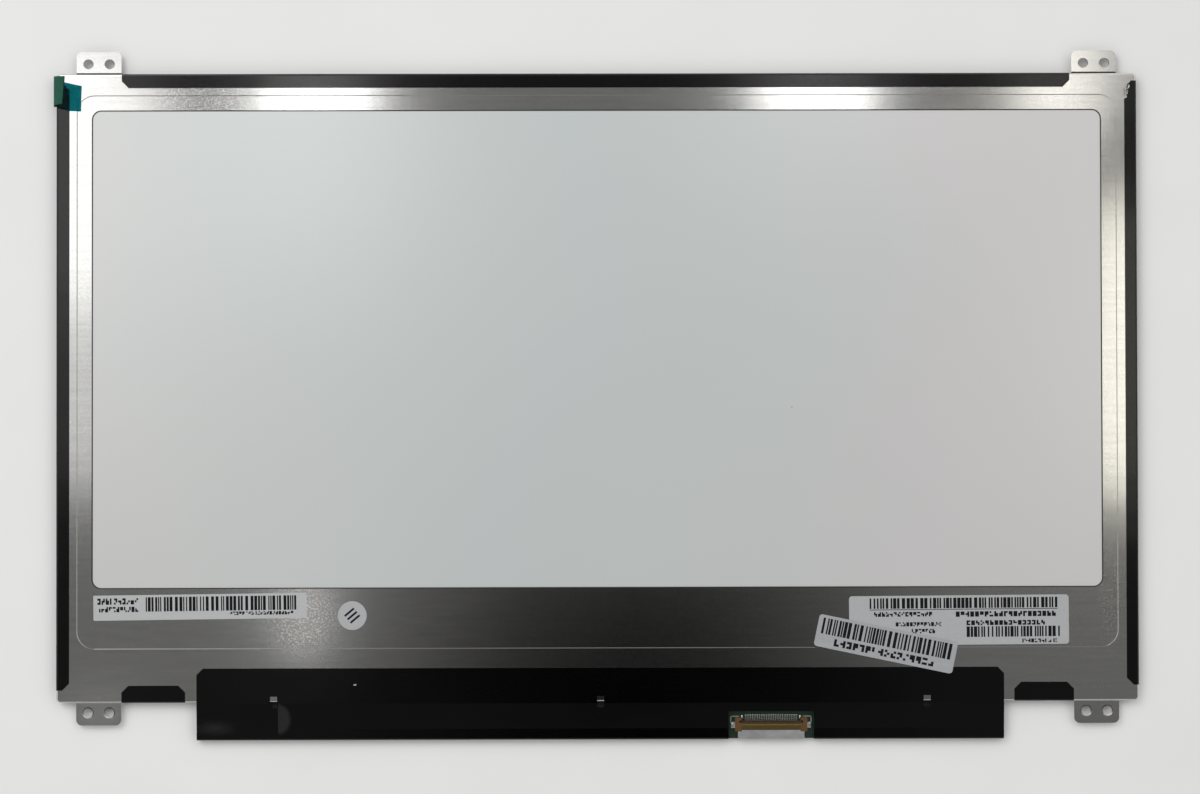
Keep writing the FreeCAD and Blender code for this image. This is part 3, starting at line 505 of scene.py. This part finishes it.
# The last of these tones is painted shadow of the gap behind, and the pit colour below is painted shade.
AMBER, AMBER_PALE, AMBER_GAP_SHADOW = (0.064, 0.039, 0.009), (0.16, 0.12, 0.026), (0.030, 0.011, 0.005)
AMBER_END, PIT_SHADE = (0.105, 0.052, 0.017), (0.004, 0.002, 0.001)
STEPS_Y, END_X, END_BLUR = (0.0020, 0.0056), 0.0082, 0.0003
PIT_MIDDLE, PIT_R, PIT_BLUR = (0.0087, 0.0044, 0.0), 0.00036, 0.00005
RESIN_DEPTH = 0.000006
amber, tree, shader = new_finish("amber_moulding", {"IOR": 1.5})
split = tree.nodes.new("ShaderNodeSeparateXYZ")
from_middle = vector_step(tree, "ABSOLUTE", place_on(tree, (housing_x, housing_low.y, 0.0), FLAT))
tree.links.new(from_middle, split.inputs["Vector"])
# The brown rear step is painted shadow of the dark gap between the ends.
steps = ramp(tree, span(tree, split.outputs["Y"], STEPS_Y, FADE_IN),
             [(0.0, AMBER), (0.36, AMBER), (0.42, AMBER_PALE), (0.48, AMBER), (0.70, AMBER_GAP_SHADOW)])
at_end = span(tree, split.outputs["X"], (END_X, END_X + END_BLUR), FADE_IN)
steps = mixed(tree, at_end, steps, AMBER_END)
# Painted shade darkens each pit.
from_pit = vector_step(tree, "LENGTH", vector_step(tree, "SUBTRACT", from_middle, PIT_MIDDLE))
steps = mixed(tree, span(tree, from_pit, (PIT_R, PIT_R - PIT_BLUR), FADE_IN), steps, PIT_SHADE)
tree.links.new(steps, shader.inputs["Base Color"])
resin = texture(tree, 1200.0, detail=3.0)
tree.links.new(span(tree, resin, NOISE_BODY, (0.28, 0.42)), shader.inputs["Roughness"])
tree.links.new(bump(tree, resin, RESIN_DEPTH), shader.inputs["Normal"])
finishes["connector_amber"] = amber
print(len(finishes), "finishes in all")

# %% [markdown]
# ## Dress the CAD nodes
# The imported record says which slot each node takes, so the finishes go on by name. The left label gets
# a paper of its own, paler than the others. A node's mesh is never touched: only its material slot
# changes.

# %% Give every node its finish
white_paper = mottled("white_label_paper", (0.44, 0.445, 0.455), (0.47, 0.475, 0.485),
                      (0.38, 0.5), 0.5, 0.002)
own_finish = {"label_left": white_paper}
for row in frame["record"]["subparts"]:
    materials = nodes[row["node"]].data.materials
    materials.clear()
    materials.append(own_finish.get(row["node"], finishes[row["material_slot"]]))

# %% [markdown]
# ## Print on the labels
# The labels carry bar codes and small print. Bars are thin closed strips of ink that lie on the paper,
# so they stay sharp from any distance. Rows of small blocks stand for lines of print. A label's own
# coordinates run from its middle along and across it, and one function carries them to the panel: turn
# by the label's angle, move to its middle, and take the paper's height there.

# %% Ink helpers
INK_T, BLOCK_SHARE = 0.008, 0.4
MATT = {"Specular IOR Level": 0.12}
label_ink = mottled("label_ink", (0.003, 0.003, 0.004), (0.010, 0.010, 0.012),
                    (0.5, 0.65), 0.25, 0.002, MATT)


def on_label(node, turn, height):
    """Function from a label's own (u, v) in millimetres to (x, y, z) on its paper."""
    low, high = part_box(node)
    middle = (low + high) / 2 / MM
    along, across = math.cos(math.radians(turn)), math.sin(math.radians(turn))

    def place(u, v):
        x = middle.x + u * along - v * across
        y = middle.y + u * across + v * along
        return np.stack([x, y, height(y)], -1)

    return place


def strips(boxes, place, rows=2, thickness=INK_T):
    """Closed strips over boxes of (u0, u1, v0, v1): each has rows points along v and two along u."""
    u0, u1, v0, v1 = (side[:, None, None] for side in np.array(boxes, float).T)
    across = np.array([0.0, 1.0])[None, None, :]
    along = np.linspace(0.0, 1.0, rows)[None, :, None]
    foot = place(u0 + (u1 - u0) * across + 0 * along, v0 + (v1 - v0) * along + 0 * across)
    return np.stack([foot + (0, 0, thickness), foot - (0, 0, thickness / 4)], 1)


def bar_code(u0, u1, v0, v1, bars, seed, spread=0.5):
    """Boxes of a bar code: bars and gaps of 1 to 3 units by turns, stretched to fill u0 to u1.

    Ink spreads into the paper, so each bar is wider by spread units.
    """
    widths = np.random.default_rng(seed).choice([1.0, 1.0, 2.0, 3.0], 2 * bars - 1)
    widths[0::2] += spread
    edges = u0 + np.concatenate([[0.0], np.cumsum(widths)]) * (u1 - u0) / widths.sum()
    return [(a, b, v0, v1) for a, b in zip(edges[0::2], edges[1::2])]


def small_print(u0, u1, v0, v1, marks, seed, weight=0.68):
    """Boxes that stand for a line of print: cells of two by three blocks, with a share of them inked."""
    pitch, rise = (u1 - u0) / marks, (v1 - v0) / 3
    inked = np.random.default_rng(seed).random((marks, 2, 3)) < weight
    cell, column, row = np.nonzero(inked)
    a, b = u0 + pitch * (cell + BLOCK_SHARE * column), v0 + rise * row
    return list(zip(a, a + BLOCK_SHARE * pitch, b, b + rise))


print("ink stands", INK_T, "mm off the paper")

# %% [markdown]
# The left label has one bar code with two lines before it and one below. The right label has two bar
# codes, a rule and several lines. Their places were measured on the photograph, in millimetres from
# the middle of each label.

# %% Left and right label print
LEFT_TURN, RIGHT_TURN = 0.65, 0.4
left_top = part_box("label_left")[1].z / MM
right_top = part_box("label_right")[1].z / MM
left_print = bar_code(-15.3, 27.1, -1.15, 2.9, 44, 11)
left_print += small_print(-28.9, -17.2, 0.95, 2.7, 10, 12)
left_print += small_print(-28.9, -17.2, -1.2, 0.3, 11, 13)
left_print += small_print(8.4, 26.4, -2.45, -1.45, 21, 14)
left_place = on_label("label_left", LEFT_TURN, lambda y: np.full_like(y, left_top))
add_piece("label_left_print", strips(left_print, left_place), label_ink)

right_print = bar_code(-25.2, 27.8, 3.35, 6.3, 52, 21, 1.2)
right_print += bar_code(2.1, 28.4, -4.8, -1.85, 28, 22, 0.9)
right_print += [(-25.2, 27.8, 2.95, 3.13)]
right_print += small_print(-24.0, -7.4, 1.1, 2.4, 15, 23)
right_print += small_print(-0.9, 27.6, 0.9, 2.4, 21, 24, 0.8)
right_print += small_print(-17.9, -4.9, -1.65, -0.5, 13, 25)
right_print += small_print(2.1, 24.5, -1.5, -0.15, 17, 26, 0.8)
right_print += small_print(-13.4, -6.6, -3.65, -2.4, 7, 27)
right_print += small_print(17.4, 28.1, -6.5, -5.4, 11, 28)
right_place = on_label("label_right", RIGHT_TURN, lambda y: np.full_like(y, right_top))
add_piece("label_right_print", strips(right_print, right_place), label_ink)

# %% [markdown]
# ## The tilted label
# This label was stuck on askew. It lies on the right label, climbs the step of the chassis and ends on
# the black tape, so the paper follows that ground in two soft ramps. It replaces the CAD label, whose
# folds are sharp. The sheet is a grid whose rows grow shorter along the corner arcs, and its height is
# a sum of two smooth steps down the panel.

# %% Draped paper and its print
TILTED_TURN = -11.8
TILTED_W, TILTED_H, TILTED_R = 39.8, 9.1, 0.9
PAPER_T, PAPER_GAP = 0.08, 0.012
STEP_RAMP = (-72.1, -73.65)
TAPE_RAMP = (-77.9, -79.1)
steel_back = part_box("back_chassis")[1].z / MM
tape_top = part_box("left_edge_tape")[1].z / MM


def smooth_step(value, start, end):
    """0 before start, 1 past end, and 3t2 - 2t3 of the share t between them."""
    t = np.clip((value - start) / (end - start), 0.0, 1.0)
    return t * t * (3.0 - 2.0 * t)


def paper_height(y):
    """Upper face of the draped paper: the right label's top, plus the climbs onto steel and tape."""
    on_steel = (steel_back - right_top) * smooth_step(y, *STEP_RAMP)
    on_tape = (tape_top - steel_back) * smooth_step(y, *TAPE_RAMP)
    return right_top + PAPER_T + PAPER_GAP + on_steel + on_tape


tilted_place = on_label("label_tilted", TILTED_TURN, paper_height)
v = np.linspace(-1.0, 1.0, 61)[:, None] * TILTED_H / 2
past_arc = np.maximum(np.abs(v) - (TILTED_H / 2 - TILTED_R), 0.0)
row_half = TILTED_W / 2 - TILTED_R + np.sqrt(np.maximum(TILTED_R**2 - past_arc**2, 0.0))
u = row_half * np.linspace(-1.0, 1.0, 81)[None, :]
paper = tilted_place(u, v + 0 * u)
grey_paper = mottled("grey_label_paper", (0.34, 0.345, 0.36), (0.37, 0.375, 0.39),
                     (0.38, 0.5), 0.5, 0.002)
paper_shell = np.stack([paper, paper - (0, 0, PAPER_T)])
tilted = add_piece("label_tilted_paper", paper_shell[None], grey_paper)
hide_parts("label_tilted")

tilted_print = bar_code(-18.6, 18.5, -0.75, 3.75, 37, 31, 0.7)
tilted_print += small_print(-14.4, 14.6, -3.6, -1.6, 16, 32)
add_piece("label_tilted_print", strips(tilted_print, tilted_place, rows=25), label_ink)

# %% [markdown]
# ## Mark on the round sticker
# The sticker says that the module was inspected. A plain mark of three slanted bars stands for that.

# %% Three bars on the sticker
DOT_TURN, DOT_BAR_HALF, DOT_BAR_W, DOT_BAR_PITCH = 40.0, 1.7, 0.56, 1.25
dot_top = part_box("inspection_dot")[1].z / MM
dot_place = on_label("inspection_dot", DOT_TURN, lambda y: np.full_like(y, dot_top))
dot_bars = [(-DOT_BAR_HALF, DOT_BAR_HALF, v - DOT_BAR_W / 2, v + DOT_BAR_W / 2)
            for v in (-DOT_BAR_PITCH, 0.0, DOT_BAR_PITCH)]
add_piece("inspection_mark", strips(dot_bars, dot_place), label_ink)

# %% [markdown]
# ## Pull tab
# The tab that pulls the screen film off is folded round the left edge. One length of film comes round
# the edge and stands off it in a soft hump, and under its free end a second length lies askew on the
# tape and the steel. Two helpers serve both lengths: one rounds the corners of a line of points by
# averaging neighbours, and one gives a grid its thickness along its own normals.

# %% Helpers for bent film


def rounded_line(points, samples, window):
    """Points spread evenly along a line by its length, then averaged over a window to round it."""
    runs = np.linalg.norm(np.diff(points, axis=0), axis=1)
    length = np.concatenate([[0.0], np.cumsum(runs)])
    even = np.linspace(0.0, length[-1], samples)
    line = np.stack([np.interp(even, length, column) for column in points.T], -1)
    padded = np.concatenate([np.repeat(line[:1], window, 0), line, np.repeat(line[-1:], window, 0)])
    weights = np.hanning(2 * window + 3)[1:-1]
    kernel = weights / weights.sum()
    return np.stack([np.convolve(column, kernel, "valid") for column in padded.T], -1)


def film_shell(grid, thickness):
    """Shell on both sides of a grid, half the thickness each way along the grid's own normals."""
    normal = np.cross(np.gradient(grid, axis=1), np.gradient(grid, axis=0))
    normal *= thickness / 2 / np.linalg.norm(normal, axis=-1, keepdims=True)
    return np.stack([grid + normal, grid - normal])


square = np.array([(0.0, 0.0), (1.0, 0.0), (1.0, 1.0)])
print("a square corner at (1, 0), rounded, passes", rounded_line(square, 9, 2)[4].round(2))

# %% [markdown]
# The hump is a profile carried along the edge of the panel: the profile is a rounded line in X and Z, and
# the film's two side edges, lower and upper, move a little along Y as it goes round. The free end is cut
# at a slant. This length is creased and dull, so it has a finish of its own: an opaque matt green that is
# partly the film's own tint and partly painted sheen, standing for the bright room reflected in the
# sloped film.

# %% Film round the edge
TAB_T = 0.06
WRAP_LINE = np.array([(-150.9, 0.09), (-153.2, 0.09), (-153.55, 0.5), (-153.57, 2.2), (-153.2, 2.95),
                      (-152.0, 3.28), (-150.3, 3.08)])
WRAP_LOW, WRAP_HIGH, WRAP_SLANT = (80.3, 79.6, 80.2), (87.2, 88.0, 88.2), 0.08
share = np.linspace(0.0, 1.0, 90)
rise = np.linspace(0.0, 1.0, 25)[:, None]
wrap_line = rounded_line(WRAP_LINE, share.size, 6)
low_edge = np.interp(share, (0.0, 0.5, 1.0), WRAP_LOW)
high_edge = np.interp(share, (0.0, 0.5, 1.0), WRAP_HIGH)
reach = share[None, :] * (1.0 - WRAP_SLANT * (1.0 - rise))
wrap = np.stack([np.interp(reach, share, wrap_line[:, 0]), low_edge + (high_edge - low_edge) * rise,
                 np.interp(reach, share, wrap_line[:, 1])], -1)
# Opaque matt green: partly the film's own tint, partly painted sheen of the bright room.
film_and_painted_sheen = mottled("folded_tab_film_and_sheen", (0.013, 0.078, 0.052), (0.021, 0.10, 0.068),
                      (0.3, 0.45), 0.5, 0.004, MATT)
tab_wrap = add_piece("pull_tab_wrap", film_shell(wrap, TAB_T)[None], film_and_painted_sheen, smooth=True)
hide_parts("pull_tab")

# %% [markdown]
# The flat length is spanned between its lower and upper edge. It lies on the tape, steps down to the
# steel past the tape's inner edge, and its free end is a little askew.

# %% Film on tape and steel
TAIL_X = np.array([-152.5, -150.7, -149.0, -145.65])
TAIL_LOW, TAIL_HIGH = (79.07, 78.65, 78.25, 78.16), (86.85, 86.45, 86.08, 85.33)
TAIL_LIFT, TAIL_SKEW, SKEW_FROM = 0.05, 0.15, -150.0
tail_x = np.linspace(TAIL_X[0], TAIL_X[-1], share.size)
tail_low = np.interp(tail_x, TAIL_X, TAIL_LOW)
tail_high = np.interp(tail_x, TAIL_X, TAIL_HIGH)
tape_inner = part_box("left_edge_tape")[1].x / MM
step_down = smooth_step(tail_x, tape_inner - 0.1, tape_inner + 0.9)
tail_z = tape_top + TAIL_LIFT - (tape_top - steel_back) * step_down
skew = TAIL_SKEW * (2.0 * rise - 1.0) * smooth_step(tail_x, SKEW_FROM, TAIL_X[-1])
tail = np.stack([tail_x + skew, tail_low + (tail_high - tail_low) * rise, tail_z + 0 * rise], -1)
tab_tail = add_piece("pull_tab_tail", film_shell(tail, TAB_T)[None], tab_film, smooth=True)
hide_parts("pull_tab")

# %% [markdown]
# ## Solder
# Each contact tail sits in a small mound of solder, and larger mounds hold the pads and tabs at the
# ends. A mound is a pillow: its height falls to nothing at all four sides, as (1 - x2)(1 - y2). It is
# sunk a little into the board, so that no gap shows.

# %% Solder mounds
SOLDER_SINK = 0.003
solder = mottled("solder", (0.42, 0.43, 0.41), (0.62, 0.63, 0.61), (0.2, 0.36), 0.25, 0.006, METAL)
board_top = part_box("driver_board")[1].z / MM


def mounds(x, y, half_x, half_y, height):
    """Pillows of solder on the board: arrays of middles, and half sides and height for all of them."""
    t = np.linspace(-1.0, 1.0, 7)
    dome = (1.0 - t[None, :] ** 2) * (1.0 - t[:, None] ** 2)
    shape = np.broadcast_shapes(np.shape(x), np.shape(y))
    grid_x = np.broadcast_to(x, shape)[:, None, None] + half_x * t[None, None, :] + 0 * dome[None]
    grid_y = np.broadcast_to(y, shape)[:, None, None] + half_y * t[None, :, None] + 0 * dome[None]
    crown = board_top + SOLDER_SINK + height * dome[None] + 0 * grid_x
    upper = np.stack([grid_x, grid_y, crown], -1)
    lower = np.stack([grid_x, grid_y, np.full_like(grid_x, board_top - SOLDER_SINK)], -1)
    return np.stack([upper, lower], 1)


print("the board's top is at", round(board_top, 3), "mm")

# %% [markdown]
# The mounds lie along the ends of the contacts, on the two tabs that hold the connector down, and on a
# pad beyond each end of the row. Their places come from the boxes of those nodes.

# %% Solder on contacts, tabs and pads
CONTACTS, CONTACT_W = 30, 0.22
CONTACT_IN, CONTACT_MOUND = 0.45, (0.13, 0.75, 0.12)
HOLD_IN, HOLD_MOUND = 0.35, (0.42, 0.85, 0.22)
PAD_OUT, PAD_IN, PAD_MOUND = 0.85, 0.55, (0.28, 0.62, 0.2)
contact_low, contact_high = (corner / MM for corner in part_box("connector_contacts"))
contact_x = np.linspace(contact_low.x + CONTACT_W / 2, contact_high.x - CONTACT_W / 2, CONTACTS)
contact_mounds = mounds(contact_x, np.array(contact_high.y - CONTACT_IN), *CONTACT_MOUND)
add_piece("contact_solder", contact_mounds, solder, smooth=True)
hold_low, hold_high = (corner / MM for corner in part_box("connector_hold_downs"))
hold_x = np.array([hold_low.x + HOLD_IN, hold_high.x - HOLD_IN])
hold_mounds = mounds(hold_x, np.array((hold_low.y + hold_high.y) / 2), *HOLD_MOUND)
add_piece("hold_down_solder", hold_mounds, solder, smooth=True)
pad_x = np.array([contact_low.x - PAD_OUT, contact_high.x + PAD_OUT])
pad_mounds = mounds(pad_x, np.array(contact_high.y - PAD_IN), *PAD_MOUND)
add_piece("end_pad_solder", pad_mounds, solder, smooth=True)

# %% [markdown]
# ## Marks on the board
# White corner marks are printed on the board round the connector. Each is a band of ink along a rounded
# line: its two sides lie half its width from the line, across its direction. The left mark is the right
# one mirrored, with its sides changed over so that it still faces up.

# %% White corner marks
MARK_LINE, MARK_W = np.array([(11.35, -95.0), (11.35, -93.1), (8.9, -93.1)]), 0.24
marks_white = mottled("board_print", (0.24, 0.28, 0.24), (0.36, 0.40, 0.36), (0.5, 0.65), 0.2, 0.002)
connector_x = (contact_low.x + contact_high.x) / 2
mark_line = rounded_line(MARK_LINE, 28, 4)
mark_side = np.gradient(mark_line, axis=0)[:, ::-1] * (1.0, -1.0)
mark_side *= MARK_W / 2 / np.linalg.norm(mark_side, axis=1, keepdims=True)
right_mark = np.stack([mark_line - mark_side, mark_line + mark_side], 1)
left_mark = right_mark[:, ::-1] * (-1.0, 1.0)
flat_marks = np.stack([right_mark, left_mark]) + (connector_x, 0.0)
mark_z = np.array([board_top + INK_T, board_top - INK_T / 4])[None, :, None, None, None]
flat_marks = np.broadcast_to(flat_marks[:, None], (2, 2, *right_mark.shape))
mark_shells = np.concatenate([flat_marks, np.broadcast_to(mark_z, flat_marks.shape[:-1] + (1,))], -1)
add_piece("board_corner_marks", mark_shells, marks_white)

# %% [markdown]
# ## Small wear and marks
# The upper end of the right tape is torn along its inner edge. Scraps of its film are left on the
# steel there, and some bright slivers lie along the tear, where the film was scraped to its core.
# All are thin slivers, with a seeded scatter of place and angle. A bump in the tape's finish could hint
# at them, but they have edges that catch the light, so they are geometry.

# %% Slivers along the tear
SLIVER_UP, SLIVER_DOWN = 0.02, 0.01
scraped = mottled("scraped_film", (0.72, 0.72, 0.70), (0.88, 0.88, 0.86), (0.3, 0.5), 0.2, 0.006)


def slivers(x, y, length, width, turn, z, taper=1.0):
    """Thin plates of given length and width, each turned about its own middle, at height z.

    The width at the far end is taper times the width at the near end.
    """
    along = np.stack([np.cos(turn), np.sin(turn)], -1)[:, None, None, :]
    across = np.stack([-np.sin(turn), np.cos(turn)], -1)[:, None, None, :]
    u = np.array([-0.5, 0.5])[None, None, :, None] * length[:, None, None, None]
    v = np.array([-0.5, 0.5])[None, :, None, None] * width[:, None, None, None]
    v = v * np.array([1.0, taper])[None, None, :, None]
    flat = np.stack([x, y], -1)[:, None, None, :] + u * along + v * across
    level = np.full(flat.shape[:-1] + (1,), z)
    return np.stack([np.concatenate([flat, level + SLIVER_UP], -1),
                     np.concatenate([flat, level - SLIVER_DOWN], -1)], 1)


rng = np.random.default_rng(5)
TEAR_X, TEAR_FOOT, TEAR_SLOPE, SCRAP_X = 149.42, 80.95, 0.25, 149.25
tear_y = np.array([85.15, 84.8, 84.4, 83.6, 83.1, 82.65, 82.0, 81.65])
tear_x = TEAR_X + TEAR_SLOPE * (tear_y - TEAR_FOOT) + rng.uniform(0.0, 0.14, 8)
add_piece("tape_tear", slivers(tear_x, tear_y, rng.uniform(0.3, 0.6, 8), rng.uniform(0.2, 0.34, 8),
                               rng.uniform(0.3, 2.8, 8), tape_top, taper=0.35), scraped)
scrap_y = np.linspace(84.3, 82.7, 6) + rng.normal(0.0, 0.05, 6)
scrap_x = SCRAP_X + rng.normal(0.0, 0.07, 6)
scraps = slivers(scrap_x, scrap_y, rng.uniform(0.3, 0.5, 6), rng.uniform(0.14, 0.22, 6),
                 rng.uniform(1.3, 1.9, 6), steel_back, taper=0.4)
add_piece("tape_scraps", scraps, black_tape)

# %% [markdown]
# Bright flecks lie on the cover tape and at the inner edge of the left tape, a dark speck lies on the
# white sheet, and a few stamped ticks are left near the lower right corner. Each row of a list gives one
# sliver's x, y, length, width and turn.

# %% Flecks, specks and ticks
TAPE_FLECKS = [(-68.5, -83.8, 0.75, 0.22, 0.1), (-68.35, -83.7, 0.45, 0.16, 0.9)]
EDGE_FLECKS = [(-148.62, -9.65, 0.6, 0.2, 0.85), (-148.8, -12.2, 0.3, 0.14, 0.4)]
SHEET_SPECKS = [(54.9, -5.75, 0.4, 0.16, 0.5), (55.0, -5.7, 0.3, 0.14, 1.8)]
TICKS = [(138.6, -84.2, 0.9, 0.2, 1.55), (139.0, -85.1, 1.2, 0.2, 1.55), (140.9, -84.8, 1.6, 0.2, 1.55),
         (142.0, -84.5, 1.3, 0.2, 1.55), (143.1, -84.7, 1.5, 0.2, 1.55)]
speck = mottled("grey_speck", (0.10, 0.10, 0.11), (0.16, 0.16, 0.17), (0.5, 0.7), 0.2, 0.006)
stamped = mottled("stamped_steel", (0.34, 0.335, 0.32), (0.42, 0.415, 0.40),
                  (0.2, 0.35), 0.3, 0.004, METAL)
sheet_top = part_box("reflector_sheet")[1].z / MM
add_piece("tape_fleck", slivers(*np.array(TAPE_FLECKS).T, tape_top), scraped)
add_piece("edge_fleck", slivers(*np.array(EDGE_FLECKS).T, steel_back, taper=0.5), scraped)
add_piece("sheet_speck", slivers(*np.array(SHEET_SPECKS).T, sheet_top), speck)
add_piece("stamped_ticks", slivers(*np.array(TICKS).T, steel_back), stamped)

# %% [markdown]
# ## Floor
# The module lies on a plain pale surface. It is one large square just under the screen film, and it isn't
# attached to the body, so it isn't part of the object.

# %% Pale floor
FLOOR_HALF, FLOOR_DROP = 3.0, 0.00005
floor_mesh = bpy.data.meshes.new("pale_floor")
floor_corners = np.array([(-1, -1, 0), (1, -1, 0), (1, 1, 0), (-1, 1, 0)], float) * FLOOR_HALF
floor_corners[:, 2] -= FLOOR_DROP
floor_mesh.from_pydata(floor_corners.tolist(), [], [(0, 1, 2, 3)])
floor_paint = mottled("pale_floor", (0.80, 0.80, 0.80), (0.82, 0.82, 0.82), (0.7, 0.8), 40.0, 0.0)
floor_mesh.materials.append(floor_paint)
floor = bpy.data.objects.new("pale_floor", floor_mesh)
bpy.context.scene.collection.objects.link(floor)
print("floor", 2 * FLOOR_HALF, "m wide")

# %% [markdown]
# ## Studio light
# The steel acts as a mirror that looks almost straight up, so what hangs overhead decides its tones.
# The room is bright at half height, dark along the horizon, and dark overhead, where the camera and its
# holder are. The dark part leans towards the bottom of the picture. One bright place is left far off
# behind the top left corner: the left end of the chassis's lower step shows it as a thin pale line. An
# image of a studio could light the part too, but a few angles between directions are easier to adjust.

# %% Bright room, dark overhead
ROOM_LIGHT, CAP_LIGHT, WALL_LIGHT, ROOM_TINT = 1.5, 0.165, 0.5, (1.0, 1.0, 0.99, 1.0)
RING_MIDDLE, RING_EDGE = Vector((0.03, -0.255, 1.0)).normalized(), (52.0, 27.0)
DARK_MIDDLE, DARK_EDGE = Vector((0.021, -0.14, 1.0)).normalized(), (9.0, 2.2)
UP, HORIZON_EDGE = (0.0, 0.0, 1.0), (80.0, 55.0)
WALL_MIDDLE, WALL_EDGE = (-0.342, 0.940, 0.0), (15.5, 7.0)
world = bpy.data.worlds.new("studio_room")
bpy.context.scene.world = world
world.use_nodes = True
tree = world.node_tree
sky = tree.nodes.new("ShaderNodeTexCoord").outputs["Generated"]


def towards(middle, edge, target):
    """Value that goes through target as the direction nears a middle, from one angle to another."""
    facing = vector_step(tree, "DOT_PRODUCT", sky, middle)
    return span(tree, facing, [math.cos(math.radians(angle)) for angle in edge], target)


ring = towards(RING_MIDDLE, RING_EDGE, (ROOM_LIGHT - CAP_LIGHT, 0.0))
ring = combine(tree, "MULTIPLY", ring, towards(UP, HORIZON_EDGE, (0.04, 1.0)))
cap = towards(DARK_MIDDLE, DARK_EDGE, (CAP_LIGHT, 0.0))
wall = towards(WALL_MIDDLE, WALL_EDGE, (0.0, WALL_LIGHT))
room = combine(tree, "ADD", combine(tree, "ADD", ring, cap), wall)
tree.links.new(room, tree.nodes["Background"].inputs["Strength"])
tree.nodes["Background"].inputs["Color"].default_value = ROOM_TINT
print("room", ROOM_LIGHT, "overhead", CAP_LIGHT)

# %% [markdown]
# Softboxes above the camera then give the bright bands on the steel. A lamp could be pushed about until
# its reflection looks right, but a mirror's geometry is simple, so each is placed by where its mirror
# image should fall on the panel.

# %% Softboxes by the place of their mirror image
CEILING = 1.2
mirror_stretch = CEILING / camera.location.z


def softbox(name, x, y, width, height, radiance, tint=(1.0, 1.0, 1.0)):
    """Area light whose mirror image covers a rectangle of the panel, in millimetres from its middle.

    A ray from the camera to a panel point goes on upwards by the same slope, so the light's place is the
    panel point plus its offset from the camera times ceiling height over camera height.
    """
    light = bpy.data.lights.new(name, "AREA")
    light.shape = "RECTANGLE"
    light.size, light.size_y = width * MM * (1 + mirror_stretch), height * MM * (1 + mirror_stretch)
    light.energy = radiance * math.pi * light.size * light.size_y
    light.color = tint
    holder = bpy.data.objects.new(name, light)
    holder.location = (x * MM + (x * MM - camera.location.x) * mirror_stretch,
                       y * MM + (y * MM - camera.location.y) * mirror_stretch, CEILING)
    holder.visible_camera = False
    bpy.context.scene.collection.objects.link(holder)
    print(f"{name}: {light.size:.2f} x {light.size_y:.2f} m, {light.energy:.2f} W")


WARM, CREAM = (1.0, 0.975, 0.92), (1.0, 0.98, 0.86)
softbox("window_left", -160.5, 62.0, 72.0, 80.0, 1.56)
softbox("window_left_low", -162.0, -3.0, 72.0, 52.0, 0.72)
softbox("strip_left", -80.2, 80.0, 25.2, 90.0, 3.9)
softbox("strip_left_low", -84.0, -52.0, 12.0, 50.0, 0.75)
softbox("strip_middle", 62.0, 100.0, 31.0, 60.0, 2.8)
softbox("strip_right", 129.3, 102.0, 21.0, 68.0, 1.95, WARM)
softbox("window_right", 158.0, 10.0, 44.0, 85.0, 1.6, CREAM)
softbox("window_right_high", 150.0, 88.0, 24.0, 22.0, 0.33, WARM)
softbox("corner_left_low", -141.0, -94.0, 18.0, 12.0, 0.25)

# %% [markdown]
# One more lamp stands near the top left corner of the picture. Because it is close, its light falls
# off across the panel, and the lower right is a little darker.

# %% Key lamp near the top left
KEY_PLACE = Vector((-0.50, 0.55, 0.75))
key = bpy.data.lights.new("key_lamp", "AREA")
key.shape = "SQUARE"
key.size = 0.45
key.energy = 2.0
key_holder = bpy.data.objects.new("key_lamp", key)
key_holder.location = KEY_PLACE
key_holder.rotation_euler = KEY_PLACE.to_track_quat("Z", "Y").to_euler()
key_holder.visible_camera = False
bpy.context.scene.collection.objects.link(key_holder)
print("key lamp", key.energy, "W")

# %% [markdown]
# ## View transform
# Colours are shown as they are, without a film-like curve.

# %% View transform
bpy.context.scene.view_settings.view_transform = "Standard"
